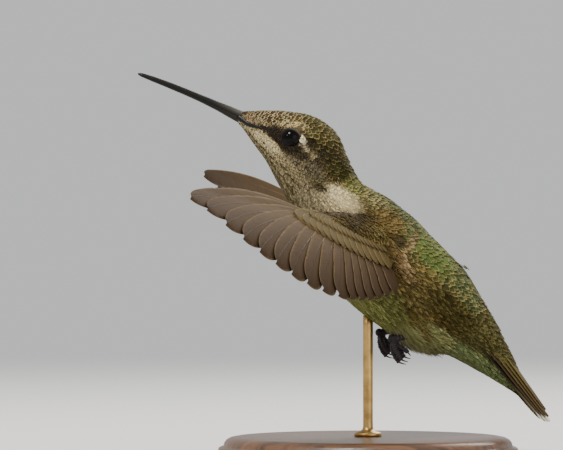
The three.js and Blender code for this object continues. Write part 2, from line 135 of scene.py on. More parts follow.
# ---------------------------------------------------------------- sizes, in mm
# The body as it hangs in the hover. At each station: [name, back x, back z, under x, under z, half
# width, gap between rows of feathers, depth of the coat over the skin, and as shares of the way down
# the side the line where the pale throat and belly start and the line where the flank starts]
BODY_STATIONS = [
    ["bill_rim", -20.0, 55.6, -21.1, 54.0, 0.95, 0.3, 0.08, 0.62, 0.5],
    ["lores", -18.4, 55.6, -19.8, 52.5, 1.9, 0.38, 0.14, 0.66, 0.5],
    ["forehead", -16.0, 55.7, -18.4, 50.5, 3.2, 0.46, 0.2, 0.67, 0.5],
    ["eye", -12.3, 55.5, -16.3, 47.6, 4.6, 0.56, 0.25, 0.68, 0.5],
    ["crown", -8.3, 54.6, -14.6, 44.4, 5.1, 0.68, 0.28, 0.7, 0.5],
    ["hindcrown", -5.1, 52.2, -13.1, 41.8, 5.3, 0.74, 0.3, 0.67, 0.42],
    ["nape", -3.0, 47.8, -12.0, 39.8, 5.2, 0.74, 0.34, 0.52, 0.36],
    ["neck", -1.0, 44.2, -10.6, 36.9, 5.6, 0.76, 0.4, 0.42, 0.28],
    ["shoulder", 2.7, 42.0, -8.5, 33.0, 6.9, 0.86, 0.46, 0.45, 0.25],
    ["breast", 7.0, 38.8, -5.9, 28.2, 7.8, 1.05, 0.5, 0.52, 0.3],
    ["back", 11.5, 34.2, -2.6, 24.7, 7.7, 1.15, 0.5, 0.6, 0.34],
    ["belly", 15.2, 30.5, 1.6, 21.4, 6.9, 1.15, 0.5, 0.66, 0.38],
    ["rump", 17.9, 26.2, 6.7, 18.2, 5.5, 1.1, 0.5, 0.7, 0.4],
    ["vent", 20.3, 22.2, 12.5, 16.7, 4.1, 1.05, 0.48, 0.7, 0.42],
    ["tail_coverts", 22.6, 17.6, 17.9, 13.9, 3.2, 1.1, 0.42, 0.62, 0.45],
    ["long_coverts", 24.7, 13.0, 21.8, 11.6, 2.6, 1.2, 0.36, 0.6, 0.5],
    ["coverts_end", 25.9, 10.9, 24.4, 9.8, 1.9, 1.3, 0.3, 0.6, 0.5],
    ["tail_sheath", 27.9, 7.9, 27.3, 6.4, 1.6, 1.3, 0.3, 0.6, 0.5],
]
ROW_GAP, COAT_DEPTH, THROAT_EDGE, FLANK_EDGE = np.array([row[6:] for row in BODY_STATIONS]).T

EYE = {"x": -12.3, "z": 51.2, "radius": 1.75, "from_middle": 3.65}
LID = {"radius": 1.5, "thickness": 0.17, "inwards": 0.02}
# How far from the eye's middle: feathers part round it, their roots and their tips end, barbs grow
EYE_ROOM = {"flow": 1.4, "roots": 1.52, "tips": 1.58, "barbs": 2.2}
BILL = {"length": 17.65, "base": [-20.6, 54.7], "rise_deg": 23, "arch": 0.28, "hidden": 2.2}
# [share of the length, depth, width]
BILL_SECTIONS = [[0, 1.9, 1.85], [0.08, 1.75, 1.7], [0.2, 1.42, 1.45], [0.4, 1.12, 1.18]]
BILL_SECTIONS += [[0.65, 1.0, 1.05], [0.85, 0.84, 0.9], [0.96, 0.62, 0.66], [1, 0.3, 0.3]]
# The corner of the mouth behind the bill: [x, z, half its height]
GAPE = [[-20.7, 54.4, 0.62], [-19.9, 53.9, 0.5], [-19.0, 53.3, 0.38]]
GAPE += [[-17.9, 52.98, 0.28], [-16.8, 52.75, 0.1]]
NOSTRIL = {"along": 1.85, "length": 1.25, "angle_deg": 52, "half_angle_deg": 9, "depth": 0.16}

WING = {
    "root": [0.4, 5.0, 37.1],  # the shoulder joint; y is its distance from the middle
    "span": 51,
    "chord": 14.8,
    "sweep_deg": 37,
    "pitch_deg": [62, 50],  # trailing edge down, at the root and at the tip
    "camber": 0.9,
    "flex": 1.6,
    "wrist": 8,
    "hand_end": 16.5,
    "tip_set_back": 3,
}
WING_RISE_DEG = {"left": 6, "right": 11}
PRIMARIES = {"count": 10, "roots_back": [0.9, 0.2], "tips_from": 18.4, "widths": [5.6, 4.6]}
SECONDARIES = {"count": 6, "roots": [7.4, 1.6], "roots_back": 1, "tips": [15, 1.2], "width": 4.6}
# Rows of coverts: [count, roots along the span, roots back, lengths, width, lift off the vanes]
COVERTS = [
    [14, [1.2, 16], [1, 0.2], [7.4, 6], 3.1, 0.42],
    [17, [0.6, 14], [0.7, 0.1], [4.9, 3.8], 2.3, 0.66],
]
FLIGHT_STEP = 0.26  # how much higher a vane's leading side lies than its shaft
# The fleshy arm: [along the span, front side, rear side, half thickness]
ARM_SECTIONS = [[-2.5, -2.4, 4.2, 2.0], [0, -2.3, 4.6, 2.0], [3.5, -1.9, 4.4, 1.55], [8, -1.6, 3.4, 1.15]]
ARM_SECTIONS += [[12, -1.1, 2.2, 0.8], [16, -0.7, 1.3, 0.55], [19, -0.4, 0.5, 0.3]]
ARM_COAT_DEPTH = 0.22

TAIL = {
    "pairs": 5,
    "tip": [29.25, 6.25],
    "drop_deg": 50.5,
    "lengths": [24.2, 25.3, 26.0, 25.8, 25.0],  # central pair first
    "width": 4.6,
    "inner_spread": [0.35, 0.9],
    "outer_spread": [1.3, 3.0],
    "bow": 0.015,
    "step": 0.12,
    "top": [2.3, 0.3],
    "layer": [0.68, 0.25],
    "arch": [0.055, 0.018],
}

# Radii (of toe and claw at the root and at the tip), distance from the middle, gap before the pad
LEG = {"shank": 0.42, "pad": 0.52, "toe": [0.44, 0.32], "claw": [0.19, 0.06], "from_middle": 2.9, "gap": 0.3}
# [x, z] of the heel and of the ankle: each shank lies along the belly and the toes hang from it
LEGS = {"left": [[7.6, 19.6], [5.0, 19.4]], "right": [[5.7, 20.6], [3.1, 20.25]]}
# Toes as [x, y, z] steps from the toes' root
TOES = {
    "inner": [[0.2, 0.5, -0.9], [0.8, 0.75, -2.0], [1.6, 0.75, -3.0], [2.5, 0.6, -3.5]],
    "middle": [[-0.3, 0.0, -0.9], [-0.2, 0.0, -2.3], [0.7, 0.0, -3.8], [1.8, 0.0, -4.4]],
    "outer": [[-0.1, -0.5, -0.9], [0.3, -0.75, -2.2], [1.1, -0.75, -3.4], [2.1, -0.6, -4.0]],
    "hind": [[0.4, 0.1, -1.15], [1.3, 0.1, -1.7], [2.1, 0.1, -2.3], [2.4, 0.0, -3.1]],
}

STAND = {"radius": 24, "thickness": 3.5}
ROD = {"radius": 0.8, "collar_radius": 2.2, "collar_height": 1.2, "top": 22.9}

# ---------------------------------------------------------------- small helpers
STATION = {row[0]: number for number, row in enumerate(BODY_STATIONS)}
HEAD_END, BODY_END = STATION["nape"] + 0.3, STATION["coverts_end"] - 0.2  # of the feathers' roots
SIDES = {"left": -1, "right": 1}


def mix(start, end, share):
    """The value a share of the way from start to end."""
    return start + (end - start) * share


def smooth(low, high, value):
    """0 below low, 1 above high, and an S-shaped rise between them."""
    share = np.clip((value - low) / (high - low), 0, 1)
    return share * share * (3 - 2 * share)


def unit(vectors):
    """The vectors at length one."""
    return vectors / np.maximum(np.linalg.norm(vectors, axis=-1, keepdims=True), 1e-9)


def dot(first, second):
    """Row by row scalar product."""
    return (first * second).sum(-1)


def way_down(angle):
    """The share of the way down a side of the body at an angle: 0 on the back, 1 underneath."""
    return (1 - np.cos(angle)) / 2


def rings(places, columns):
    """A grid of places down it and angles once round across it: the two numbers at every point."""
    angle = np.linspace(0, 2 * np.pi, columns, endpoint=False)
    return np.broadcast_arrays(places[:, None], angle[None, :])


def shade(red, green, blue):
    """A screen colour from 0 to 255 as the linear colour that Blender mixes."""
    screen = np.array([red, green, blue]) / 255
    return np.where(screen <= 0.04045, screen / 12.92, ((screen + 0.055) / 1.055) ** 2.4)


class Curve:
    """A centripetal Catmull-Rom curve through the rows of a table, read at fractional row numbers.

    Between two rows it is the cubic whose end slopes come from the four nearest rows, with knots
    spaced by the square root of the distance between rows.
    """

    def __init__(self, rows):
        rows = np.array(rows, float)
        padded = np.vstack([2 * rows[0] - rows[1], rows, 2 * rows[-1] - rows[-2]])
        step = np.diff(padded, axis=0)
        knot = np.sqrt(np.linalg.norm(step, axis=1, keepdims=True))
        speed = step / knot
        wide = (padded[2:] - padded[:-2]) / (knot[1:] + knot[:-1])
        slope = speed[:-1] - wide + speed[1:]
        self.rows = rows
        self.start_slope = slope[:-1] * knot[1:-1]
        self.end_slope = slope[1:] * knot[1:-1]

    def at(self, place):
        place = np.asarray(place, float)
        cell = np.clip(np.floor(place).astype(int), 0, len(self.rows) - 2)
        t = np.clip(place - cell, -0.3, 1.3)[..., None]
        near, far = self.rows[cell], self.rows[cell + 1]
        bend = self.start_slope[cell] * (t**3 - 2 * t**2 + t) + self.end_slope[cell] * (t**3 - t**2)
        return near * (2 * t**3 - 3 * t**2 + 1) + far * (3 * t**2 - 2 * t**3) + bend


def by_station(table, place):
    """A table of one value a station, read between the stations."""
    return np.interp(place, np.arange(len(table)), table)


# ---------------------------------------------------------------- meshes
def grid_faces(rows, columns, wrap=False):
    """Quads of a grid of points in row order; with wrap the last column joins the first."""
    row = np.arange(rows - 1)[:, None] * columns
    column = np.arange(columns if wrap else columns - 1)[None, :]
    following = (column + 1) % columns
    below = row + columns
    return np.stack([row + column, below + column, below + following, row + following], -1).reshape(-1, 4)


def closed_rings(rows, columns):
    """Faces of a closed tube of rings of points, with one many-sided cap at each end."""
    first = np.arange(columns)[None, :]
    last = first[:, ::-1] + (rows - 1) * columns
    return [grid_faces(rows, columns, wrap=True), first, last]


def repeated(face_sets, count, points_each):
    """The faces of one shape, repeated for a number of shapes that follow one another."""
    offsets = np.arange(count)[:, None, None] * points_each
    return [(faces[None] + offsets).reshape(-1, faces.shape[1]) for faces in face_sets]


def joined(shapes):
    """Several (points, face sets, values) as one: points stacked, faces renumbered."""
    points, face_sets, values = [], [], {}
    total = 0
    for shape_points, shape_faces, shape_values in shapes:
        points.append(shape_points.reshape(-1, 3))
        face_sets += [faces + total for faces in shape_faces]
        total += len(points[-1])
        for name, value in shape_values.items():
            values.setdefault(name, []).append(value.reshape(len(points[-1]), -1))
    return np.vstack(points), face_sets, {name: np.vstack(parts) for name, parts in values.items()}


def flipped(face_sets):
    """Faces turned the other way round, for a shape built as its mirror image."""
    return [faces[:, ::-1] for faces in face_sets]


def add_object(name, data):
    """An object in the scene that shows a mesh, lamp or camera."""
    holder = bpy.data.objects.new(name, data)
    bpy.context.scene.collection.objects.link(holder)
    return holder


def add_piece(name, shapes, finish, slot, replaces=()):
    """A piece of the model from shapes, each of points in mm, sets of faces and values at the points.

    A value of one column becomes a number, of three a colour or vector, and of two a UV map.
    """
    points, face_sets, values = joined(shapes)
    corners = np.concatenate([faces.ravel() for faces in face_sets]).astype(np.int32)
    sizes = np.concatenate([np.full(len(faces), faces.shape[1]) for faces in face_sets])
    starts = np.concatenate([[0], np.cumsum(sizes)[:-1]]).astype(np.int32)
    mesh = bpy.data.meshes.new(name)
    mesh.vertices.add(len(points))
    mesh.vertices.foreach_set("co", (points * MM).astype(np.float32).ravel())
    mesh.loops.add(len(corners))
    mesh.loops.foreach_set("vertex_index", corners)
    mesh.polygons.add(len(sizes))
    mesh.polygons.foreach_set("loop_start", starts)
    mesh.polygons.foreach_set("use_smooth", np.ones(len(sizes), bool))
    mesh.update(calc_edges=True)
    for value_name, value in values.items():
        value = value.astype(np.float32)
        if value.shape[1] == 2:
            mesh.uv_layers.new(name=value_name).data.foreach_set("uv", value[corners].ravel())
        else:
            kind, key = ("FLOAT", "value") if value.shape[1] == 1 else ("FLOAT_VECTOR", "vector")
            mesh.attributes.new(value_name, kind, "POINT").data.foreach_set(key, value.ravel())
    mesh.materials.append(finish)
    piece = add_object(name, mesh)
    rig.ride(piece, "root")
    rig.slot(piece, slot)
    if replaces:
        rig.replaces(piece, *replaces)


# ---------------------------------------------------------------- the surfaces that feathers lie on
BACK = Curve([[row[1], row[2], row[5]] for row in BODY_STATIONS])
UNDER = Curve([[row[3], row[4], row[5]] for row in BODY_STATIONS])


def body(place, angle, lift=0.0):
    """A point of the body: an oval between the back point and the point underneath, where angle 0
    is the back and a quarter turn is the right side, grown outwards by lift."""
    back, under = BACK.at(place), UNDER.at(place)
    middle, half = (back + under) / 2, (back - under) / 2
    height = np.hypot(half[..., 0], half[..., 1])
    raised = (height + lift) * np.cos(angle) / height
    x = middle[..., 0] + half[..., 0] * raised
    y = (middle[..., 2] + lift) * np.sin(angle)
    z = middle[..., 1] + half[..., 1] * raised
    return np.stack(np.broadcast_arrays(x, y, z), -1)


def wing_axes(wing, share):
    """A wing's own directions at a share of its span: out along it, rearward and off its face. They
    are level across the span, pitched down at the rear by an angle that fades towards the tip."""
    side = SIDES[wing]
    sweep, rise = np.radians(WING["sweep_deg"]), np.radians(WING_RISE_DEG[wing])
    span = unit(np.array([-np.sin(sweep), side * np.cos(sweep), np.tan(rise)]))
    level = np.array([np.cos(sweep), side * np.sin(sweep), 0])
    up = unit(-side * np.cross(span, level))
    pitch = np.radians(mix(*WING["pitch_deg"], share))[..., None]
    return span, level * np.cos(pitch) - up * np.sin(pitch), level * np.sin(pitch) + up * np.cos(pitch)


def wing_point(wing, out, back, height):
    """A point of a wing from its place out along the span, back across the chord and up off the
    face. The wing is arched across by a parabola of the camber, and its tip rises by the flex."""
    out, back, height = np.broadcast_arrays(out, back, height)
    share = out / WING["span"]
    span, rearward, normal = wing_axes(wing, share)
    chord_share = np.clip(back / WING["chord"], 0, 1)
    rest = 4 * WING["camber"] * chord_share * (1 - chord_share) + WING["flex"] * share**2
    root = np.array(WING["root"]) * [1, SIDES[wing], 1]
    return root + span * out[..., None] + rearward * back[..., None] + normal * (height + rest)[..., None]


ARM = Curve(ARM_SECTIONS)


def arm_surface(wing):
    """The surface of one wing's fleshy arm: an oval round the chord at each section. Angle 0 is its
    rear edge, a quarter turn its upper face on the right wing and its lower face on the left."""
    side = SIDES[wing]

    def surface(place, angle, lift=0.0):
        out, front, rear, half = np.moveaxis(ARM.at(place), -1, 0)
        back = mix(front, rear, (1 + np.cos(angle)) / 2) + lift * np.cos(angle)
        return wing_point(wing, out, back, (half + lift) * np.sin(side * angle))

    return surface


def surface_frame(surface, place, angle):
    """Point, step along, step around and outward normal, from small differences."""
    tiny = 0.004
    at = surface(place, angle)
    along = (surface(place + tiny, angle) - surface(place - tiny, angle)) / (2 * tiny)
    around = (surface(place, angle + tiny) - surface(place, angle - tiny)) / (2 * tiny)
    return at, along, around, unit(np.cross(along, around))


def steps_along(direction, along, around):
    """How far place and angle change for each mm in a direction on the surface."""
    ee, ff, gg = dot(along, along), dot(along, around), dot(around, around)
    span = ee * gg - ff * ff
    p, q = dot(direction, along), dot(direction, around)
    return (p * gg - q * ff) / span, (q * ee - p * ff) / span


# ---------------------------------------------------------------- feathers that lie on a surface
# A small feather's rows, as shares of its length, its width at each, and its columns across
VANE_ALONG = np.array([0.0, 0.3, 0.56, 0.77, 0.92, 1.0])
VANE_WIDTH = np.array([0.34, 0.84, 1.0, 0.94, 0.7, 0.3])
VANE_ACROSS = np.array([-1.0, -0.52, 0.0, 0.52, 1.0, 0.0])  # the last is the keel underneath
VANE_KEEL = np.array([0, 0, 0, 0, 0, 1.0])
# A loose barb's rows and its thickness at each
WISP_ALONG = np.array([0.0, 0.4, 0.75, 1.0])
WISP_WIDTH = np.array([1.0, 0.95, 0.6, 0.12])


class Roots:
    """Where feathers grow on a surface, and how each lies: one row of every array a feather."""

    def __init__(self, surface, place, angle, gap, seed):
        self.surface, self.place, self.angle, self.gap = surface, place, angle, gap
        self.random = np.random.default_rng(seed)
        self.at, self.along, self.around, self.normal = surface_frame(surface, place, angle)
        self.heading = unit(self.along)

    def __len__(self):
        return len(self.place)

    def vary(self, share):
        """A random factor about 1 for each feather."""
        return 1 + share * self.random.uniform(-1, 1, len(self))

    def turned(self, degrees):
        """Headings turned on the surface, a positive turn being towards larger angles."""
        turn = np.radians(degrees)[..., None]
        aside = np.cross(self.normal, self.heading)
        self.heading = self.heading * np.cos(turn) + aside * np.sin(turn)

    def kept(self, mask):
        """The same feathers with only those that the mask keeps."""
        fewer = Roots.__new__(Roots)
        fewer.surface, fewer.random = self.surface, self.random
        for name in ("place", "angle", "gap", "at", "along", "around", "normal", "heading"):
            setattr(fewer, name, getattr(self, name)[mask])
        return fewer

    def steps(self, direction):
        """How far place and angle change for each mm in a direction at each root."""
        return steps_along(direction, self.along, self.around)

    def seen_at(self, lengths):
        """Place, angle and point of the part of each feather that shows, near its tip."""
        ahead_place, ahead_angle = self.steps(self.heading)
        shown = 0.8 * lengths
        place, angle = self.place + shown * ahead_place, self.angle + shown * ahead_angle
        return place, angle, self.surface(place, angle)

    def spread(self, ahead, aside, lift):
        """Points at distances ahead and aside of each root, kept on the surface and lifted off it."""
        forwards, sideways = self.steps(self.heading), self.steps(np.cross(self.normal, self.heading))
        place, angle = (
            column(start) + column(step_ahead) * ahead + column(step_aside) * aside
            for start, step_ahead, step_aside in zip((self.place, self.angle), forwards, sideways)
        )
        at, _, _, normal = surface_frame(self.surface, place, angle)
        return at + normal * lift[..., None]


def column(values):
    """Per-feather numbers ready to combine with a grid of points per feather."""
    return np.asarray(values, float).reshape(-1, 1, 1)


def lay_vanes(roots, length, width, low, high, cup=0.12, ragged=0.05):
    """Small closed feathers, each a curved vane with a shallow keel under it.

    A point lies t of the length ahead of the root and u of the half width aside, where the tip is
    rounded by holding the edges back. It is lifted from low at the root to high at the tip, less
    the cup times the width at the edges. Returns points, faces and (across, along) at each point.
    """
    count = len(roots)
    t = VANE_ALONG[None, :, None]
    u = VANE_ACROSS[None, None, :]
    keel = VANE_KEEL[None, None, :]
    length, width, low, high = (column(v) for v in (length, width, low, high))
    jitter = roots.random.uniform(-1, 1, (2, count, len(VANE_ALONG), len(VANE_ACROSS)))
    frayed = ragged * np.abs(u) + 0.4 * ragged
    ahead = length * (t - 0.13 * u**2 * t**2 + frayed * jitter[0] * t * (1 - keel))
    aside = width / 2 * VANE_WIDTH[None, :, None] * u * (1 + 1.3 * frayed * jitter[1])
    lift = low + (high - low) * t - cup * width * u**2 - keel * (0.1 * width * (1 - t) + 0.02)
    points = roots.spread(ahead, aside + 0 * t, lift + 0 * aside)
    across, along = np.broadcast_arrays(u * (1 - keel), t, ahead)[:2]
    faces = repeated(closed_rings(len(VANE_ALONG), len(VANE_ACROSS)), count, t.size * u.size)
    return points, faces, np.stack([across, along], -1)


def lay_wisps(roots, length, thickness, low, high, bend=0.2):
    """Loose barbs, each a three-sided spike that bends to one side by a share of its length and
    rises from low at the root to high at the tip."""
    count = len(roots)
    t = WISP_ALONG[None, :, None]
    corner = np.radians([210, 90, -30])[None, None, :]
    length, thickness, low, high = (column(v) for v in (length, thickness, low, high))
    sway = column(roots.random.uniform(-1, 1, count)) * bend
    radius = thickness / 2 * WISP_WIDTH[None, :, None]
    ahead = length * t + 0 * corner
    aside = sway * length * t**2 + radius * np.cos(corner)
    lift = low + (high - low) * t + radius * np.sin(corner)
    points = roots.spread(ahead, aside, lift)
    across, along = np.broadcast_arrays(0 * corner, t, ahead)[:2]
    faces = repeated(closed_rings(len(WISP_ALONG), 3), count, len(WISP_ALONG) * 3)
    return points, faces, np.stack([across, along], -1)


def root_patches(roots, coordinates, places):
    """The bake map: each feather is a patch 0.003 across at its root's place on the unrolled skin,
    with the angle across the map and the place along the body up it."""
    patch = 0.003
    across = (roots.angle / (2 * np.pi)) % 1 * (1 - 2 * patch) + patch
    up = roots.place / places * (1 - 2 * patch) + patch
    place = np.stack([across, up], -1)[:, None, None, :]
    return place + (coordinates - [0, 0.5]) * [patch / 2, patch]


def scatter(surface, start, end, gap, seed, jitter=0.28):
    """Roots in staggered rows: each row lies one gap further along the surface than the last, and
    its feathers stand aside of each other by a share of the gap. gap is a function of the place."""
    random = np.random.default_rng(seed)
    probe = np.linspace(-np.pi, np.pi, 49)
    step, aside = 0.02, 0.95
    places, angles = [], []
    place, row = start, 0
    while place < end:
        ring, further = surface(place + 0 * probe, probe), surface(place + step + 0 * probe, probe)
        around = np.linalg.norm(np.diff(ring, axis=0), axis=1)
        ahead = np.linalg.norm(further - ring, axis=1).mean() / step
        number = max(3, int(around.sum() / (gap(place) * aside)))
        number_along = np.arange(number) + 0.5 * (row % 2) + random.uniform(-jitter, jitter, number) + 0.25
        reach = np.concatenate([[0], np.cumsum(around)]) / around.sum()
        angles.append(np.interp(number_along / number % 1, reach, probe))
        places.append(place + random.uniform(-jitter, jitter, number) * gap(place) / ahead)
        place += gap(place) / ahead
        row += 1
    place = np.concatenate(places)
    return Roots(surface, place, np.concatenate(angles), gap(place), seed + 1)


# ---------------------------------------------------------------- markings
FACE_END = -9  # x behind which a patch isn't only of the face


class Coat:
    """The coat's markings at many places, painted in layers: the colour of each feather's middle
    and of its fringe, how much of the feather the middle takes, and how much it shines."""

    def __init__(self, place, angle, points):
        self.place, self.down = place, way_down(angle)
        self.x, self.z = points[..., 0], points[..., 2]
        self.tint = np.zeros(place.shape + (3,))
        self.fringe = np.zeros(place.shape + (3,))
        self.core = np.zeros(place.shape)
        self.sheen = np.zeros(place.shape)

    def paint(self, where, tint, fringe, core, sheen=0.0):
        """Lays one marking over what is there, as strongly as where says."""
        self.tint = mix(self.tint, shade(*tint), where[..., None])
        self.fringe = mix(self.fringe, shade(*fringe), where[..., None])
        self.core = mix(self.core, core, where)
        self.sheen = mix(self.sheen, sheen, where)

    def patch(self, x, z, half_length, half_width, turn_deg=0, soft=0.35):
        """An oval patch seen from the side, its long axis turned up from level, with a soft rim."""
        turn = np.radians(turn_deg)
        x, z = self.x - x, self.z - z
        ahead = (x * np.cos(turn) + z * np.sin(turn)) / half_length
        up = (z * np.cos(turn) - x * np.sin(turn)) / half_width
        return 1 - smooth(1 - soft, 1 + soft, np.hypot(ahead, up))

    def paint_patches(self, rows, soft=0.35):
        """Paints oval patches in turn. Those of the face end where the nape begins."""
        face = 1 - smooth(6, 7.5, self.place)
        for x, z, half_length, half_width, turn, *look in rows:
            patch = self.patch(x, z, half_length, half_width, turn, soft)
            self.paint(patch * face if x < FACE_END else patch, *look)

    def below(self, edge, soft=0.05):
        """All that lies below a line given, at each station, as a share of the way down the side."""
        level = by_station(edge, self.place)
        return smooth(level - soft, level + soft, self.down)

    def between(self, start, end, soft=0.4):
        """All that lies between two places along the body."""
        begun, ended = (smooth(edge - soft, edge + soft, self.place) for edge in (start, end))
        return begun * (1 - ended)


# Soft oval patches, later ones on top: [x, z, half length, half width, turn in degrees, colour of the
# feather's middle, colour of its fringe, share of the middle, and shine if any]
PATCHES = [
    # flank and back
    [-1.8, 43.2, 2.8, 1.5, -40, (82, 84, 42), (142, 134, 84), 0.62, 0.25],
    [1.3, 41.0, 2.6, 1.2, -38, (84, 82, 48), (150, 138, 94), 0.62, 0.25],
    [2.6, 37.2, 3.4, 3.0, -35, (86, 70, 38), (110, 94, 57), 0.6, 0.1],
    [10.4, 32.4, 4.8, 2.8, -52, (77, 82, 42), (131, 123, 77), 0.7, 0.3],
    [10.6, 32.6, 3.8, 1.9, -52, (76, 88, 42), (120, 120, 68), 0.7, 0.3],
    [6.9, 34.5, 0.8, 1.9, -32, (98, 82, 53), (138, 116, 80), 0.4],
    [6.1, 30.2, 0.9, 3.4, 18, (86, 70, 44), (146, 122, 86), 0.5],
    # painted shadow behind the wing's root
    [4.9, 35.0, 1.2, 0.9, -50, (54, 46, 27), (84, 72, 45), 0.7],
    [9.8, 28.4, 3.4, 1.5, -50, (80, 70, 36), (116, 101, 59), 0.55, 0.1],
    [13.6, 23.6, 4.9, 2.2, -47, (48, 43, 21), (84, 75, 40), 0.66, 0.1],
    [8.9, 25.2, 0.5, 2.0, 14, (92, 75, 45), (130, 108, 70), 0.4],
    # the lower belly's edge: olive, as painted shade with a painted green cast of reflected light
    [2.6, 23.6, 4.6, 2.5, -40, (91, 90, 47), (122, 121, 70), 0.4],
    [0.4, 23.0, 4.6, 1.9, -42, (109, 110, 58), (140, 141, 84), 0.4],
    [7.9, 24.4, 2.2, 3.2, 20, (70, 62, 33), (99, 87, 50), 0.5],
    [8.6, 21.4, 2.6, 1.2, -30, (76, 67, 34), (103, 91, 50), 0.4],
    [8.3, 19.3, 2.6, 1.1, -28, (112, 110, 66), (149, 147, 96), 0.3],
    [11.2, 19.5, 3.0, 1.4, -32, (110, 109, 66), (147, 146, 96), 0.3],
    [9.6, 20.1, 0.5, 1.3, 8, (88, 71, 36), (114, 94, 52), 0.4],
    # head
    [-6.2, 47.2, 2.0, 3.6, 26, (42, 37, 20), (106, 91, 57), 0.76, 0.1],
    [-4.2, 45.8, 1.7, 1.3, -45, (42, 40, 19), (88, 81, 46), 0.74, 0.15],
    [-10.9, 46.9, 3.2, 0.9, -42, (68, 61, 47), (113, 102, 81), 0.4],
    [-10.0, 48.6, 3.6, 1.7, -40, (39, 33, 24), (82, 71, 51), 0.7],
    [-9.1, 50.3, 1.1, 0.5, -15, (36, 31, 20), (80, 69, 45), 0.78],
    [-7.2, 48.8, 0.65, 1.2, 10, (36, 31, 20), (80, 69, 45), 0.78],
    [-8.6, 45.9, 2.3, 1.05, -36, (60, 54, 40), (84, 77, 58), 0.35],
    [-14.6, 51.7, 1.9, 1.3, -35, (34, 28, 23), (58, 49, 38), 0.8],
    [-16.4, 52.7, 1.4, 0.45, -22, (36, 30, 24), (62, 53, 42), 0.8],
    [-12.2, 50.8, 2.4, 2.2, 0, (30, 25, 20), (56, 47, 35), 0.8],
    [-12.1, 53.3, 2.2, 0.62, -8, (94, 80, 52), (180, 157, 114), 0.5],
    [-10.1, 53.0, 0.8, 0.4, -40, (84, 73, 48), (152, 133, 97), 0.55],
]
# The same, of the throat and cheek: these go over the pale throat
PALE_PATCHES = [
    [-9.9, 49.3, 0.5, 0.4, -50, (96, 87, 64), (136, 124, 94), 0.4],
    [-8.8, 48.3, 0.6, 0.55, -30, (96, 86, 60), (134, 120, 88), 0.4],
    [-10.6, 47.2, 0.7, 0.4, -30, (76, 67, 47), (112, 100, 73), 0.4],
    [-16.3, 50.5, 2.7, 0.85, -38, (176, 160, 121), (193, 179, 139), 0.1],
    [-10.2, 50.3, 0.48, 0.6, 0, (128, 119, 93), (164, 152, 122), 0.3],
    [-10.55, 51.35, 0.3, 0.72, -6, (204, 196, 160), (238, 230, 194), 0.3],
    [-18.8, 53.9, 0.5, 0.2, -20, (108, 88, 70), (144, 122, 100), 0.3],
]
# The same, of the neck, with softer rims
NECK_PATCHES = [
    [-8.0, 40.6, 4.0, 1.7, -35, (98, 88, 66), (128, 116, 90), 0.2],
    [-5.0, 40.7, 3.7, 2.0, -33, (142, 128, 97), (172, 157, 121), 0.2],
    [-3.75, 41.2, 2.9, 1.4, -33, (212, 193, 148), (238, 221, 175), 0.2],
    [-7.75, 43.35, 1.7, 0.75, -30, (38, 33, 22), (69, 60, 41), 0.7],
]


def markings(place, angle, points):
    """The coat's markings: a bronze-green back, brown flanks and a pale belly whose olive lower sides are painted
    shade with a painted green cast of reflected light, a brown crown over a dark face, a pale throat, and then the
    smaller patches."""
    coat = Coat(place, angle, points)
    spine = coat.between(7.2, 12.6, 1.2) * (1 - smooth(0.1, 0.3, coat.down))
    breast = smooth(0.6, 0.8, coat.down) * (1 - smooth(8.0, 11.0, place))
    mid_belly = coat.between(8.5, 13.5, 1.2) * smooth(0.78, 0.94, coat.down)
    undertail = coat.between(12.8, 15.4) * coat.below(THROAT_EDGE, 0.08)
    throat = coat.below(THROAT_EDGE, 0.045) * (1 - smooth(6.6, 8.4, place))
    for where, *look in (
        [np.ones(place.shape), (58, 60, 35), (136, 118, 75), 0.76, 0.35],
        [spine, (60, 70, 40), (120, 113, 70), 0.74, 0.35],
        [coat.below(FLANK_EDGE, 0.1), (60, 50, 24), (93, 76, 41), 0.6, 0.1],
        # the underside: whitish feathers painted darker and olive, as painted shade with a painted green cast of
        # reflected light
        [coat.below(THROAT_EDGE, 0.12), (98, 95, 51), (130, 127, 76), 0.4],
        [breast, (112, 103, 75), (142, 133, 101), 0.4],
        [mid_belly, (122, 117, 88), (154, 149, 117), 0.4],
        [coat.between(12.6, 20), (57, 52, 28), (91, 84, 49), 0.62, 0.15],
        [undertail, (91, 99, 62), (128, 138, 91), 0.4],
        [1 - smooth(6.2, 7.4, place), (50, 46, 27), (126, 111, 70), 0.74, 0.1],
        [1 - smooth(3.4, 6.2, place), (60, 54, 31), (129, 116, 71), 0.7, 0.1],
        [1 - smooth(2.4, 4.2, place), (54, 45, 29), (174, 155, 116), 0.72],
        [1 - smooth(1.0, 2.2, place), (52, 44, 30), (158, 138, 103), 0.7],
        [throat, (99, 88, 64), (128, 115, 86), 0.2],
    ):
        coat.paint(where, *look)
    coat.paint_patches(PATCHES)
    coat.paint(throat * (1 - smooth(3.0, 5.2, place)) * 0.85, (123, 110, 81), (150, 137, 104), 0.2)
    coat.paint_patches(PALE_PATCHES)
    coat.paint_patches(NECK_PATCHES, 0.6)
    coat.spots = throat * (1 - smooth(5.5, 7, place))
    return coat


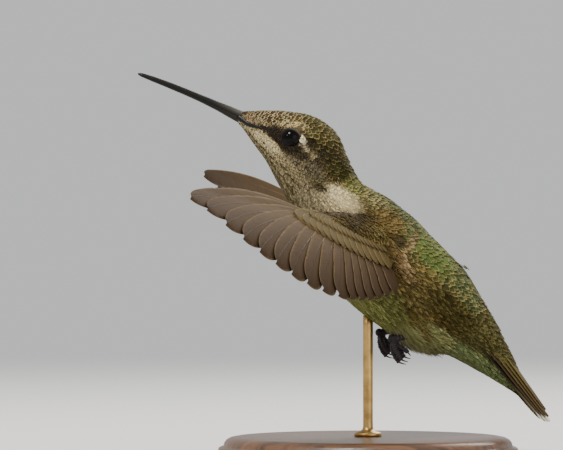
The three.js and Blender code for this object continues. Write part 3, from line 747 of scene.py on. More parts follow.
def coat_values(roots, coordinates, coat, lengths, uneven):
    """The values that the coat's finish reads, at each point of each feather. A share of the
    feathers of the back turn a clearer green, a few have a golden fringe, and each has a
    brightness of its own."""
    count = len(roots)
    brightness = roots.random.normal(1, uneven, count).clip(0.6, 1.5)[:, None]
    warmth = 1 + roots.random.normal(0, uneven / 5, count)[:, None] * [1, 0, -1]
    drift = np.sin(roots.at @ [0.9, 0.5, -0.7] + 1.3) + np.sin(roots.at @ [-0.5, 1.1, 0.8])
    greener = smooth(0.1, 0.9, roots.random.uniform(0, 1, count) + 0.16 * drift)
    greener = greener * smooth(0.25, 0.45, coat.sheen)
    seed = roots.random.uniform(0, 1, count)
    gilt = 0.6 * smooth(0.8, 0.86, seed) * smooth(0.2, 0.4, coat.sheen)
    tint = mix(coat.tint, shade(70, 92, 64), 0.5 * greener[:, None]) * brightness * warmth
    fringe = coat.fringe * mix(1, brightness, 0.7) * warmth
    fringe = mix(fringe, shade(180, 150, 98), gilt[:, None])

    def spread(*values):
        """Per-feather numbers side by side, the same at every point of a feather."""
        values = np.stack(np.broadcast_arrays(*values), -1).reshape(count, 1, 1, -1)
        return np.broadcast_to(values, coordinates.shape[:-1] + values.shape[-1:])

    return {
        "tint": spread(*tint.T),
        "fringe": spread(*fringe.T),
        "vane": np.concatenate([coordinates, spread(lengths)], -1),
        "habit": spread(coat.core, coat.sheen, seed),
    }


def coat_piece(name, layer, finish, slot, replaces=(), uneven=0.2, places=len(BODY_STATIONS) - 1):
    """One piece of feathers from their roots, markings, lengths and laid shape."""
    roots, coat, lengths, (points, faces, coordinates) = layer
    values = coat_values(roots, coordinates, coat, lengths, uneven)
    values["OFBake"] = root_patches(roots, coordinates, places)
    add_piece(name, [(points, faces, values)], finish, slot, replaces)


# ---------------------------------------------------------------- finishes
def operator(operation, other_first=False):
    """A method that joins a signal and another value by one Math node."""

    def joined_by_node(self, other):
        return self.math(operation, *((other, self) if other_first else (self, other)))

    return joined_by_node


class Signal:
    """A number that varies over a surface. Arithmetic on it adds Math nodes to its finish."""

    def __init__(self, finish, socket):
        self.finish, self.socket = finish, socket

    def math(self, operation, *values):
        return self.finish.node("ShaderNodeMath", {"operation": operation}, dict(enumerate(values)))

    __add__ = __radd__ = operator("ADD")
    __mul__ = __rmul__ = operator("MULTIPLY")
    __sub__, __rsub__ = operator("SUBTRACT"), operator("SUBTRACT", other_first=True)
    __truediv__, __pow__ = operator("DIVIDE"), operator("POWER")
    at_least = operator("MAXIMUM")

    def size(self):
        return self.math("ABSOLUTE", self)

    def clear_of(self, low, high):
        """0 below low, 1 above high, with an S-shaped rise between."""
        limits = {"Value": self, "From Min": low, "From Max": high}
        return self.finish.node("ShaderNodeMapRange", {"interpolation_type": "SMOOTHSTEP"}, limits)

    def parts(self):
        """The three components of a vector signal."""
        split = self.finish.node("ShaderNodeSeparateXYZ", {}, {"Vector": self})
        return [Signal(self.finish, socket) for socket in split.socket.node.outputs]


class Finish:
    """A material whose colour, gloss and relief are worked out by nodes."""

    def __init__(self, name, **constants):
        self.material = bpy.data.materials.new(name)
        self.material.use_nodes = True
        self.tree = self.material.node_tree
        self.shader = self.tree.nodes["Principled BSDF"]
        for socket, value in constants.items():
            self.shader.inputs[socket.replace("_", " ")].default_value = value

    def node(self, kind, settings=None, inputs=None, output=0):
        """Adds a node: its settings first, then its inputs, which are values or signals."""
        node = self.tree.nodes.new(kind)
        for name, value in (settings or {}).items():
            setattr(node, name, value)
        for name, value in (inputs or {}).items():
            self.feed(node.inputs[name], value)
        return Signal(self, node.outputs[output])

    def feed(self, socket, value):
        if isinstance(value, Signal):
            self.tree.links.new(value.socket, socket)
        elif isinstance(value, (np.ndarray, list, tuple)) and len(socket.default_value) == 4:
            socket.default_value = (*value, 1)
        else:
            socket.default_value = value

    def value(self, name):
        """A number stored at the mesh's points."""
        return self.node("ShaderNodeAttribute", {"attribute_name": name}, output="Fac")

    def vector(self, name):
        """A colour or vector stored at the mesh's points."""
        return self.node("ShaderNodeAttribute", {"attribute_name": name}, output="Vector")

    def place(self, stretch=(1, 1, 1)):
        """Object coordinates in mm, stretched along each axis."""
        at = self.node("ShaderNodeTexCoord", output="Object")
        scale = [s / MM for s in stretch]
        return self.node("ShaderNodeVectorMath", {"operation": "MULTIPLY"}, {0: at, 1: scale})

    def combined(self, x, y, z):
        return self.node("ShaderNodeCombineXYZ", {}, {"X": x, "Y": y, "Z": z})

    def noise(self, where, scale=1.0, detail=2.0, roughness=0.5):
        inputs = {"Vector": where, "Scale": scale, "Detail": detail, "Roughness": roughness}
        return self.node("ShaderNodeTexNoise", {}, inputs, "Fac")

    def blend(self, share, first, second):
        """Two colours mixed by a share."""
        colours = {"data_type": "RGBA"}
        return self.node("ShaderNodeMix", colours, {0: share, 6: first, 7: second}, 2)

    def brightened(self, colour, factor):
        """A colour times a number."""
        inputs = {"Vector": colour, "Scale": factor}
        return self.node("ShaderNodeVectorMath", {"operation": "SCALE"}, inputs)

    def relief(self, height, distance, strength=1.0):
        """A normal bumped by a height, where a height of one stands distance mm proud."""
        inputs = {"Height": height, "Distance": distance * MM, "Strength": strength}
        return self.node("ShaderNodeBump", {}, inputs, "Normal")

    def linked(self, **varying):
        """Links the varying signals to the shader and returns the material."""
        for socket, signal in varying.items():
            self.feed(self.shader.inputs[socket.replace("_", " ")], signal)
        return self.material

    def finished(self, colour, roughness, height, distance, strength=1.0, **more):
        """The material with its colour, its roughness, a relief and any more signals linked."""
        normal = self.relief(height, distance, strength)
        return self.linked(Base_Color=colour, Roughness=roughness, Normal=normal, **more)


def contour_feather_finish(name, streaked=0.0):
    """Small body feathers: a dark, slightly metallic middle in a paler fringe, with a fine shaft
    and barbs that run out and forward from it. Downy ones turn pale in streaks along them."""
    finish = Finish(name, Specular_IOR_Level=0.02)
    across, along, length = finish.vector("vane").parts()
    core, sheen, seed = finish.vector("habit").parts()
    wide = across.size()
    barb_place = along * length * 5.5 - wide * 1.6
    barbs = finish.noise(finish.combined(barb_place, wide * 1.5, seed * 40), 2.2, 2.0, 0.6)
    strands = finish.noise(finish.combined(across * 3.5, along * length * 0.8, seed * 40), 1.0, 3.0, 0.7)
    past = ((along - 0.62) / 0.38).at_least(0.0)
    rim = (across * across + past * past) ** 0.5
    scalloped = (rim + (barbs - 0.5) * 0.12 - core).clear_of(-0.06, 0.07)
    downy = (strands + rim * 0.4 - core * 0.6 - 0.28).clear_of(-0.16, 0.16)
    fringed = scalloped * (1 - streaked) + downy * streaked
    colour = finish.blend(fringed, finish.vector("tint"), finish.vector("fringe"))
    shaft = 1 - (1 - wide.clear_of(0.03, 0.16)) * 0.3
    streaks = 0.72 + barbs * (0.56 - 0.3 * streaked) + (strands - 0.25) * 0.6 * streaked
    colour = finish.brightened(colour, streaks * shaft)
    shine = (1 - fringed) * sheen
    rough = 0.66 - shine * 0.25 + (barbs - 0.5) * 0.2
    return finish.finished(colour, rough, barbs + (1 - wide) * 0.4, 0.03, 0.7, Metallic=shine * 0.35)


def skin_finish():
    """The skin under the feathers, in the coat's own colours darkened as painted shade between the feathers, and
    finely pebbled.
    """
    finish = Finish("bare_skin", Specular_IOR_Level=0.3)
    pebbles = finish.noise(finish.place(), 3.5, 3.0, 0.6)
    colour = finish.blend(finish.value("bare"), finish.vector("tint"), shade(66, 56, 50))
    # Painted shade: the coat's colours are darkened to about half, for the shade between the feathers over the skin.
    colour = finish.brightened(colour, 0.45 + pebbles * 0.5)
    return finish.finished(colour, 0.7 + pebbles * 0.2, pebbles, 0.05)


def flight_feather_finish():
    """Stiff flight feathers: barbs in close parallel lines that slant out and forward from the
    shaft, bundled here and there, and paler worn edges."""
    finish = Finish("flight_vanes", Specular_IOR_Level=0.02)
    across, along, length = finish.vector("vane").parts()
    worn, sheen, seed = finish.vector("habit").parts()
    wide = across.size()
    slant = along * length - wide * 1.9
    bundles = finish.noise(finish.combined(slant * 1.6, wide * 0.9, seed * 60), 1.0, 3.0, 0.65)
    barbs = finish.noise(finish.combined(slant * 9, wide * 0.7, seed * 60), 1.0, 1.0)
    edge = (wide + (bundles - 0.5) * 0.24).clear_of(0.8, 1.0) * worn
    colour = finish.blend(edge, finish.vector("tint"), finish.vector("fringe"))
    colour = finish.brightened(colour, 0.62 + bundles * 0.42 + barbs * 0.34)
    rough = 0.6 - sheen * 0.15 + (barbs - 0.5) * 0.2
    metallic = sheen * (1 - edge) * 0.5
    return finish.finished(colour, rough, barbs * 0.7 + bundles * 0.6, 0.05, 0.8, Metallic=metallic)


def shaft_finish():
    """The horny shafts of the flight feathers, pale at the root and dark towards the tip."""
    finish = Finish("feather_shaft", Specular_IOR_Level=0.12)
    grain = finish.noise(finish.place(), 2.0)
    along = finish.vector("vane").parts()[1]
    dark = (along + (grain - 0.5) * 0.3).clear_of(0.05, 0.5)
    colour = finish.blend(dark, shade(104, 84, 64), shade(56, 44, 35))
    return finish.finished(colour, 0.44 + grain * 0.12, grain, 0.01)


def bill_finish():
    """Dark horn: near black, paler at the base, with a painted grey highlight along the top near the base, and fine
    lines along it.
    """
    finish = Finish("bill_horn", Specular_IOR_Level=0.1, Coat_Roughness=0.25)
    along, around = finish.value("along"), finish.value("around")
    lines = finish.noise(finish.combined(along * 9, around * 9, 0.0), 1.0, 3.0, 0.6)
    base = 1 - (along + (lines - 0.5) * 0.1).clear_of(-0.02, 0.34)
    colour = finish.blend(base * 0.8, shade(19, 18, 16), shade(38, 35, 30))
    # Painted highlight: the top of the bill turns grey, most near the base, for the light it catches there.
    top_highlight = 1 - around.clear_of(0.5, 1.5)
    colour = finish.blend(top_highlight * (0.08 + base * 0.6), colour, shade(90, 87, 80))
    colour = finish.brightened(colour, 0.75 + lines * 0.5)
    rough = 0.4 + base * 0.16 + (lines - 0.5) * 0.16
    return finish.finished(colour, rough, lines, 0.03, 0.6, Coat_Weight=0.08 - base * 0.06)


def eye_finish():
    """A wet dark eye: a black pupil in a very dark brown iris with faint rays."""
    finish = Finish("wet_eye", Specular_IOR_Level=0.0, Coat_Roughness=0.05, Coat_IOR=1.2, Roughness=0.3)
    out = finish.value("out")
    rays = finish.noise(finish.combined(finish.value("turn") * 6, out, 0.0), 3.0)
    iris = (out + (rays - 0.5) * 0.05).clear_of(0.42, 0.5) * (1 - out.clear_of(0.72, 0.86))
    colour = finish.blend(iris * (0.4 + rays), shade(6, 5, 5), shade(24, 16, 12))
    return finish.linked(Base_Color=colour, Coat_Weight=0.9 + rays * 0.1)


def lid_finish():
    """The rim of the lids: slate skin in fine radial folds, greyish brown where the upper lid is
    heavy and paler here and there below the eye."""
    finish = Finish("lid_skin", Specular_IOR_Level=0.1)
    folds = finish.noise(finish.combined(finish.value("turn") * 14, finish.value("out") * 2, 0.0))
    slate = finish.blend(folds, shade(14, 13, 13), shade(34, 31, 31))
    brown = finish.blend(folds, shade(48, 43, 36), shade(88, 78, 64))
    colour = finish.blend(finish.value("heavy"), slate, brown)
    pale = finish.value("pale") * folds.clear_of(0.42, 0.6)
    colour = finish.blend(pale * 0.8, colour, shade(132, 122, 104))
    return finish.finished(colour, 0.42 + folds * 0.2, folds, 0.04)


def foot_finish():
    """Dark scaly foot skin with dusty edges to the scutes."""
    finish = Finish("foot_skin", Specular_IOR_Level=0.2)
    pores = finish.noise(finish.place(), 6.0)
    edge = finish.value("scute").clear_of(0.15, 0.55)
    colour = finish.blend(edge, shade(62, 52, 54), shade(34, 28, 31))
    return finish.finished(finish.brightened(colour, 0.7 + pores * 0.6), 0.46 + pores * 0.2, pores, 0.03)


def claw_finish():
    """Black claws, paler and glossier to the point."""
    finish = Finish("claw_horn", Specular_IOR_Level=0.5)
    grain = finish.noise(finish.place((1, 1, 3)), 5.0)
    pale = grain * 0.5 + finish.value("scute") * 0.3
    colour = finish.blend(pale, shade(22, 20, 20), shade(70, 60, 54))
    return finish.finished(colour, 0.25 + grain * 0.15, grain, 0.01)


def wood_finish():
    """Turned dark walnut: long wavering grain lines, small pores and an oiled sheen."""
    finish = Finish("oiled_walnut", Specular_IOR_Level=0.5, Coat_Roughness=0.25)
    sway = finish.noise(finish.place((0.05, 0.3, 0.3)), 0.5, 3.0)
    along, across, _ = finish.place((0.03, 1, 1)).parts()
    grain = finish.noise(finish.combined((across + sway * 9) * 1.3, along, 0.0), 1.0, 4.0, 0.65)
    pores = finish.noise(finish.place((0.5, 9, 9)), 1.0, 2.0, 0.6).clear_of(0.6, 0.72)
    colour = finish.blend(grain.clear_of(0.3, 0.7), shade(58, 36, 23), shade(110, 74, 46))
    colour = finish.brightened(colour, 1 - pores * 0.5)
    oil = 0.35 - pores * 0.3
    return finish.finished(colour, 0.4 + pores * 0.25, grain * 0.3 - pores, 0.04, 0.6, Coat_Weight=oil)


def brass_finish():
    """Brushed brass, drawn lengthwise, a little darker in the scratches."""
    finish = Finish("brushed_brass", Metallic=1.0)
    lines = finish.noise(finish.place((14, 14, 0.6)), 1.0, 3.0, 0.6)
    tarnish = finish.noise(finish.place(), 0.5, 3.0)
    colour = finish.blend(tarnish.clear_of(0.35, 0.75), shade(190, 156, 96), shade(150, 118, 70))
    colour = finish.brightened(colour, 0.8 + lines * 0.35)
    return finish.finished(colour, 0.24 + lines * 0.16 + tarnish * 0.1, lines, 0.01)


def floor_finish(pale, near, far):
    """A pale matt floor that fades out with distance from the stand, so that no edge shows."""
    finish = Finish("pale_floor", Specular_IOR_Level=0.2)
    at = finish.node("ShaderNodeTexCoord", output="Object")
    away = finish.node("ShaderNodeVectorMath", {"operation": "LENGTH"}, {0: at}, "Value")
    speckle = finish.noise(finish.place(), 0.05, 3.0)
    colour = finish.blend(speckle * 0.1, pale, [0.9 * c for c in pale])
    opaque = 1 - away.clear_of(near, far)
    return finish.linked(Base_Color=colour, Roughness=0.85 + speckle * 0.1, Alpha=opaque)


CLOSE_COAT = contour_feather_finish("close_coat")
DOWNY_COAT = contour_feather_finish("downy_coat", 1.0)


# ---------------------------------------------------------------- skin
def body_skin():
    """The body inside its coat, closed at the bill and under the tail."""
    place, angle = rings(np.linspace(0, STATION["coverts_end"], 120), 56)
    points = body(place, angle, -by_station(COAT_DEPTH, place) - 0.03)
    coat = markings(place, angle, points)
    return points, closed_rings(*place.shape), {"tint": coat.tint, "bare": 0 * place}


def arm_skin(wing):
    """A wing's fleshy arm inside its coverts."""
    place, angle = rings(np.linspace(0, len(ARM_SECTIONS) - 1, 40), 24)
    points = arm_surface(wing)(place, angle, -ARM_COAT_DEPTH * 0.6)
    tint = np.broadcast_to(shade(60, 48, 32), points.shape)
    return points, closed_rings(*place.shape), {"tint": tint, "bare": 0.3 + 0 * place}


skins = [body_skin(), arm_skin("left"), arm_skin("right")]
add_piece("skin", skins, skin_finish(), "body_feathers", ["head", "neck", "torso"])


# ---------------------------------------------------------------- contour feathers of the body
def eye_centre(side):
    return np.array([EYE["x"], side * EYE["from_middle"], EYE["z"]])


def around_eye(roots, radius):
    """Turns headings to flow round the eyes, as water parts round a post of the given radius."""
    for side in SIDES.values():
        away = roots.at - eye_centre(side)
        away -= roots.normal * dot(away, roots.normal)[:, None]
        distance = np.maximum(np.linalg.norm(away, axis=1), radius)
        out = unit(away)
        pull = (radius / distance) ** 2 * (roots.at[:, 1] * side > 0)
        across = dot(roots.heading, out)[:, None] * out * 2 - roots.heading
        roots.heading = unit(roots.heading - pull[:, None] * across)


def eye_distance(points):
    """Distance from the nearer eye's axis, seen from the side."""
    return np.hypot(points[..., 0] - EYE["x"], points[..., 2] - EYE["z"])


def shortened_by_eye(roots, lengths, radius):
    """Lengths cut back so that no feather reaches over an eye."""
    tips = roots.at + roots.heading * lengths[:, None]
    room = np.maximum(eye_distance(roots.at) - radius, 0.12)
    return np.where(eye_distance(tips) < radius, np.minimum(lengths, room), lengths)


def body_region(start, end, seed, density, low, high):
    """Roots of feathers between two places along the body and between two shares of the way down
    its side, in rows set closer by the density. A slight blur mixes the edges of two regions."""
    blur = 0.03
    roots = scatter(body, start, end, lambda place: by_station(ROW_GAP, place) * density, seed, jitter=0.16)
    down = way_down(roots.angle) + roots.random.uniform(-blur, blur, len(roots))
    return roots.kept((down > low) & (down <= high))


def streak_and_spot(roots, coat):
    """Faint pale and dark strokes down the throat, where two waves cross, and the throat's dark
    spots: most feathers in each line of them, and a few between the lines."""
    around, along = roots.angle, roots.place
    stroke = np.sin(43 * around + 4 * np.sin(0.8 * along)) + np.sin(29 * around - 3 * np.sin(0.6 * along))
    stroked = 1 + (0.13 * stroke * smooth(0.4, 0.6, coat.down) * (along < HEAD_END))[:, None]
    in_line = np.cos(24 * around + 3 * np.sin(along)) > 0.1
    share = 0.02 + np.where(in_line, 0.85, 0.05) * smooth(0.75, 0.9, coat.down)
    spotted = roots.random.uniform(0, 1, len(roots)) < share
    spot = (spotted * coat.spots)[:, None]
    coat.tint = mix(coat.tint * stroked, shade(38, 32, 22), spot)
    coat.fringe = mix(coat.fringe * stroked, shade(90, 79, 57), spot)
    coat.core = mix(coat.core, np.where(spotted, 0.8, 0.05), coat.spots)
    coat.core = coat.core + roots.random.normal(0, 0.07, len(roots))


def contour_layer(roots, overlap=3.2, breadth=1.9, fluff=0.0, cup=0.12, ragged=0.06):
    """The body's own feathers at the roots given: as long as the overlap times the row gap, lying
    from the skin up to the outside of the coat, with their tips lifted by the fluff."""
    depth = by_station(COAT_DEPTH, roots.place)
    length = roots.gap * overlap * roots.vary(0.14)
    length = shortened_by_eye(roots, length, EYE_ROOM["tips"])
    coat = markings(*roots.seen_at(length))
    streak_and_spot(roots, coat)
    width = roots.gap * breadth * roots.vary(0.12)
    high = 0.05 * roots.gap + roots.random.uniform(-0.5, 1, len(roots)) * 0.08 * roots.gap + fluff
    return roots, coat, length, lay_vanes(roots, length, width, -depth, high, cup, ragged)


def wisp_layer(roots, length, thickness, rise):
    """Loose barbs at the roots given, which break the outline of the feathers under them."""
    length = length * roots.vary(0.35)
    coat = markings(*roots.seen_at(length))
    pale = roots.random.uniform(0.25, 1, len(roots))
    coat.tint = coat.fringe = mix(coat.tint, coat.fringe, pale[:, None])
    coat.sheen = 0 * coat.sheen
    high = rise * roots.random.uniform(0.1, 1, len(roots))
    laid = lay_wisps(roots, length, thickness * roots.vary(0.3), -0.12, high, 0.25)
    return roots, coat, length, laid


def vent_bump(place, down):
    """How strongly the tuft at the vent stands out at each root, from 0 to 1."""
    return smooth(11.1, 11.7, place) * (1 - smooth(12.2, 12.7, place)) * smooth(0.72, 0.92, down)


# [start, end, slot, nodes that the feathers stand for]
HEAD = [0.04, HEAD_END, "crown_feathers", ["head"]]
BODY = [HEAD_END, BODY_END, "body_feathers", ["neck", "torso"]]
CLOSE, SOFT = {"ragged": 0.03}, {"overlap": 3.8, "breadth": 1.5, "ragged": 0.14}
THROAT = {"overlap": 4, "breadth": 1.4, "cup": 0.08, "ragged": 0.12}
# [piece, part, seed, rows set closer by, share of the way down from and to, habit, unevenness from
# feather to feather, finish]
REGIONS = [
    ["crown_feathers", HEAD, 11, 1.02, -1, 0.3, CLOSE, 0.2, CLOSE_COAT],
    ["face_feathers", HEAD, 12, 0.62, 0.3, 0.66, {}, 0.18, CLOSE_COAT],
    ["throat_feathers", HEAD, 13, 0.64, 0.66, 2, THROAT, 0.08, contour_feather_finish("throat_coat", 0.7)],
    ["back_feathers", BODY, 31, 0.75, -1, 0.3, CLOSE, 0.22, CLOSE_COAT],
    ["flank_feathers", BODY, 32, 0.72, 0.3, 0.6, SOFT, 0.14, DOWNY_COAT],
    ["belly_feathers", BODY, 33, 0.72, 0.6, 2, SOFT, 0.1, DOWNY_COAT],
]
for name, part, seed, density, low, high, habit, uneven, finish in REGIONS:
    start, end, slot, nodes = part
    region = body_region(start, end, seed, density, low, high)
    if part is HEAD:
        around_eye(region, EYE_ROOM["flow"])
        region = region.kept(eye_distance(region.at) > EYE_ROOM["roots"])
    fluff = 0.35 * vent_bump(region.place, way_down(region.angle))
    coat_piece(name, contour_layer(region, fluff=fluff, **habit), finish, slot, nodes, uneven)


def barb_roots(start, end, gap, seed, wanted):
    """Roots of loose barbs, kept where wanted, a function of the markings, gives more than a random
    number."""
    roots = scatter(body, start, end, lambda place: gap + 0 * place, seed, jitter=0.5)
    share = wanted(markings(roots.place, roots.angle, roots.at))
    lucky = roots.random.uniform(0, 1, len(roots)) < share
    roots = roots.kept(lucky & (eye_distance(roots.at) > EYE_ROOM["barbs"]))
    roots.turned(roots.random.normal(0, 9, len(roots)))
    return roots


# Where loose barbs grow, as a share at each root
WHERE = {
    "throat": lambda coat: smooth(0.5, 0.7, coat.down),
    "neck": lambda coat: coat.patch(-3.2, 41.0, 2.8, 1.5, -33),
    "flank": lambda coat: (0.04 + 0.96 * smooth(0.24, 0.4, coat.down)) * (coat.down < 0.62),
    "belly": lambda coat: coat.down >= 0.62,
    "vent": lambda coat: vent_bump(coat.place, coat.down),
}
# [start, end, gap, length, thickness, rise, unevenness]
BARBS = {
    "throat": [1.2, 6.6, 0.36, 1.1, 0.09, 0.05, 0.2],
    "neck": [5.0, 8.6, 0.26, 1.9, 0.11, 0.2, 0.12],
    "flank": [6.2, 14.5, 0.42, 2.3, 0.15, 0.1, 0.3],
    "belly": [6.2, 15.6, 0.46, 2.3, 0.15, 0.1, 0.22],
    "vent": [11.0, 12.8, 0.24, 2.0, 0.15, 1.15, 0.2],
}
for seed, (name, (start, end, gap, length, thickness, rise, uneven)) in enumerate(BARBS.items(), 51):
    layer = wisp_layer(barb_roots(start, end, gap, seed, WHERE[name]), length, thickness, rise)
    coat_piece(f"{name}_barbs", layer, DOWNY_COAT, "body_feathers", uneven=uneven)

# One small feather has worked loose on the lower back
stray = Roots(body, np.array([10.66]), np.array([-0.1]), np.array([0.7]), 77)
stray_coat = Coat(stray.place, stray.angle, stray.at)
stray_coat.paint(np.ones(1), (86, 86, 62), (116, 114, 86), 0.3)
stray_length = np.array([2.5])
stray_shape = lay_vanes(stray, stray_length, 1.2, -0.3, 0.66, 0.1, 0.2)
coat_piece("stray_feather", (stray, stray_coat, stray_length, stray_shape), DOWNY_COAT, "body_feathers")


# ---------------------------------------------------------------- eyes and lids
def ball(centre, radius, pole, rows=40, columns=48):
    """A sphere in rings about a pole: rings at equal angles from one pole to the other. Values give
    how far round (turn) and how far from the front pole (out, 1 at the equator)."""
    out, turn = rings(np.linspace(0.01, np.pi - 0.01, rows), columns)
    pole = unit(np.array(pole, float))
    first = unit(np.cross(pole, [0.3, 0.2, 1.0]))
    second = np.cross(pole, first)
    spin = first * np.cos(turn)[..., None] + second * np.sin(turn)[..., None]
    points = centre + radius * (pole * np.cos(out)[..., None] + spin * np.sin(out)[..., None])
    return points, closed_rings(rows, columns), {"turn": turn, "out": out / (np.pi / 2)}


def lid_rim(side):
    """A ring of lid skin that hugs the eyeball: a tube round the eye, drawn out to a small corner
    at the front and the back, pleated across, and heavier where the upper lid hangs at the back."""
    rows, columns = 96, 12
    turn, around = rings(np.linspace(0, 2 * np.pi, rows, endpoint=False), columns)
    corner = np.cos(turn) ** 8
    pleats = 1 + 0.1 * np.sin(34 * turn)
    heavy = smooth(0.4, 1, np.cos(turn - 0.85))
    thick = LID["thickness"] * pleats * (1 - 0.2 * corner) * (1 + 0.8 * heavy)
    across = LID["radius"] + 0.07 * corner - 0.05 * np.abs(np.sin(turn)) ** 3 + thick * np.cos(around)
    across = across - 0.08 * heavy
    proud = np.sqrt(EYE["radius"] ** 2 - LID["radius"] ** 2) - LID["inwards"] + thick * np.sin(around) * 1.1
    points = eye_centre(side) + np.stack([across * np.cos(turn), side * proud, across * np.sin(turn)], -1)
    faces = [grid_faces(rows + 1, columns, wrap=True) % (rows * columns)]
    below = smooth(0.2, 0.9, np.cos(turn + 1.1)) * smooth(-0.2, 0.6, np.cos(around))
    values = {"turn": turn, "out": np.sin(around), "pale": below, "heavy": heavy}
    return points, flipped(faces) if side > 0 else faces, values


EYE_GLASS = eye_finish()
for name, side in SIDES.items():
    eyeball = ball(eye_centre(side), EYE["radius"], [-0.12, side, 0.05])
    add_piece(f"eyeball_{name}", [eyeball], EYE_GLASS, "eye_glass", [f"eye_{name}"])
add_piece("lids", [lid_rim(side) for side in SIDES.values()], lid_finish(), "eye_glass")


# ---------------------------------------------------------------- bill
def tube(points, radii, sides=8, reference=(0.0, 0.0, 1.0)):
    """Rings of the given radii round a line of points, closed at both ends."""
    ahead = unit(np.gradient(points, axis=0))
    aside = unit(np.cross(ahead, reference))
    up = np.cross(aside, ahead)
    angle = np.linspace(0, 2 * np.pi, sides, endpoint=False)[None, :, None]
    ring = aside[:, None] * np.cos(angle) + up[:, None] * np.sin(angle)
    return points[:, None] + np.asarray(radii)[:, None, None] * ring, closed_rings(len(points), sides)


def ridge(place, middle, half_width, power=2):
    """A bell across a surface: 1 at the middle, fading to a third at the half width."""
    return np.exp(-(((place - middle) / half_width) ** power))


def bill_shape():
    """Both mandibles as one tapering oval about a gently arched line. The line of the mouth is a
    groove down each side, the upper edge overhangs it, a low ridge runs along the top, and each
    nostril is a slit under a flap."""
    rows, columns = 150, 64
    hidden = BILL["hidden"] / BILL["length"]
    along = (1 - (1 - np.linspace(0, 1, rows)) ** 1.25) * (1 + hidden) - hidden
    along, angle = rings(along, columns)
    share = np.clip(along, 0, 1)
    stops, *sizes = np.transpose(BILL_SECTIONS)
    depth, width = (np.interp(share, stops, size) / 2 for size in sizes)
    tip = np.sqrt(np.clip((1.0 - along) / 0.012, 0, 1))
    aside = np.abs(np.arctan2(np.sin(angle), np.cos(angle)))
    mouth = np.radians(98)
    groove = ridge(aside, mouth, 0.1) * (0.2 - 0.08 * share)
    overhang = ridge(aside, mouth - 0.24, 0.14) * 0.05
    crest = 0.07 * ridge(aside, 0, 0.35) * (1 - 0.5 * share)
    slit_along = (along * BILL["length"] - NOSTRIL["along"]) / NOSTRIL["length"]
    slit_around = (aside - np.radians(NOSTRIL["angle_deg"])) / np.radians(NOSTRIL["half_angle_deg"])
    slit = ridge(slit_along, 0, 1, 4) * ridge(slit_around, 0, 1) * NOSTRIL["depth"]
    flap = ridge(slit_along, 0, 1) * ridge(slit_around, -2.3, np.sqrt(2)) * 0.09
    swell = (1 - groove + overhang + crest + flap - slit) * tip
    rise = np.radians(BILL["rise_deg"])
    ahead, up = np.array([[-np.cos(rise), 0, np.sin(rise)], [np.sin(rise), 0, np.cos(rise)]])
    base = np.array([BILL["base"][0], 0, BILL["base"][1]])
    bow = BILL["arch"] * 4 * share * (1 - share)
    height = depth * swell * np.cos(angle) + bow
    points = base + ahead * (along * BILL["length"])[..., None] + up * height[..., None]
    points[..., 1] += width * swell * np.sin(angle)
    return points, flipped(closed_rings(rows, columns)), {"along": share, "around": aside}


def on_body(x, z):
    """The place and the angle on the body's right side that show at x, z in a side view."""
    place, angle = np.meshgrid(np.linspace(-0.3, 17, 1400), np.linspace(0, np.pi, 240), indexing="ij")
    at = body(place, angle)
    nearest = np.argmin((at[..., 0] - x) ** 2 + (at[..., 2] - z) ** 2)
    return place.flat[nearest], angle.flat[nearest]


def gape(side):
    """The horny corner of the mouth: a wedge that runs back from the bill between the feathers."""
    places, angles = np.transpose([on_body(x, z) for x, z, _ in GAPE])
    radii = np.array(GAPE)[:, 2]
    line = body(places, side * angles, 0.09 - radii)
    row = np.linspace(0, len(GAPE) - 1, 28)
    points, faces = tube(Curve(line).at(row), by_station(radii, row), 12, (0.1, 1.0, 0.2))
    plain = np.ones(points.shape[:2])
    return points, faces, {"along": 0.5 * plain, "around": 2 * plain}


bill_parts = [bill_shape(), gape(SIDES["left"]), gape(SIDES["right"])]
add_piece("bill_horn", bill_parts, bill_finish(), "bill_horn", ["bill"])


# ---------------------------------------------------------------- flight and tail feathers
LEADING_SHARE = 0.34  # of a vane's width, in front of the shaft


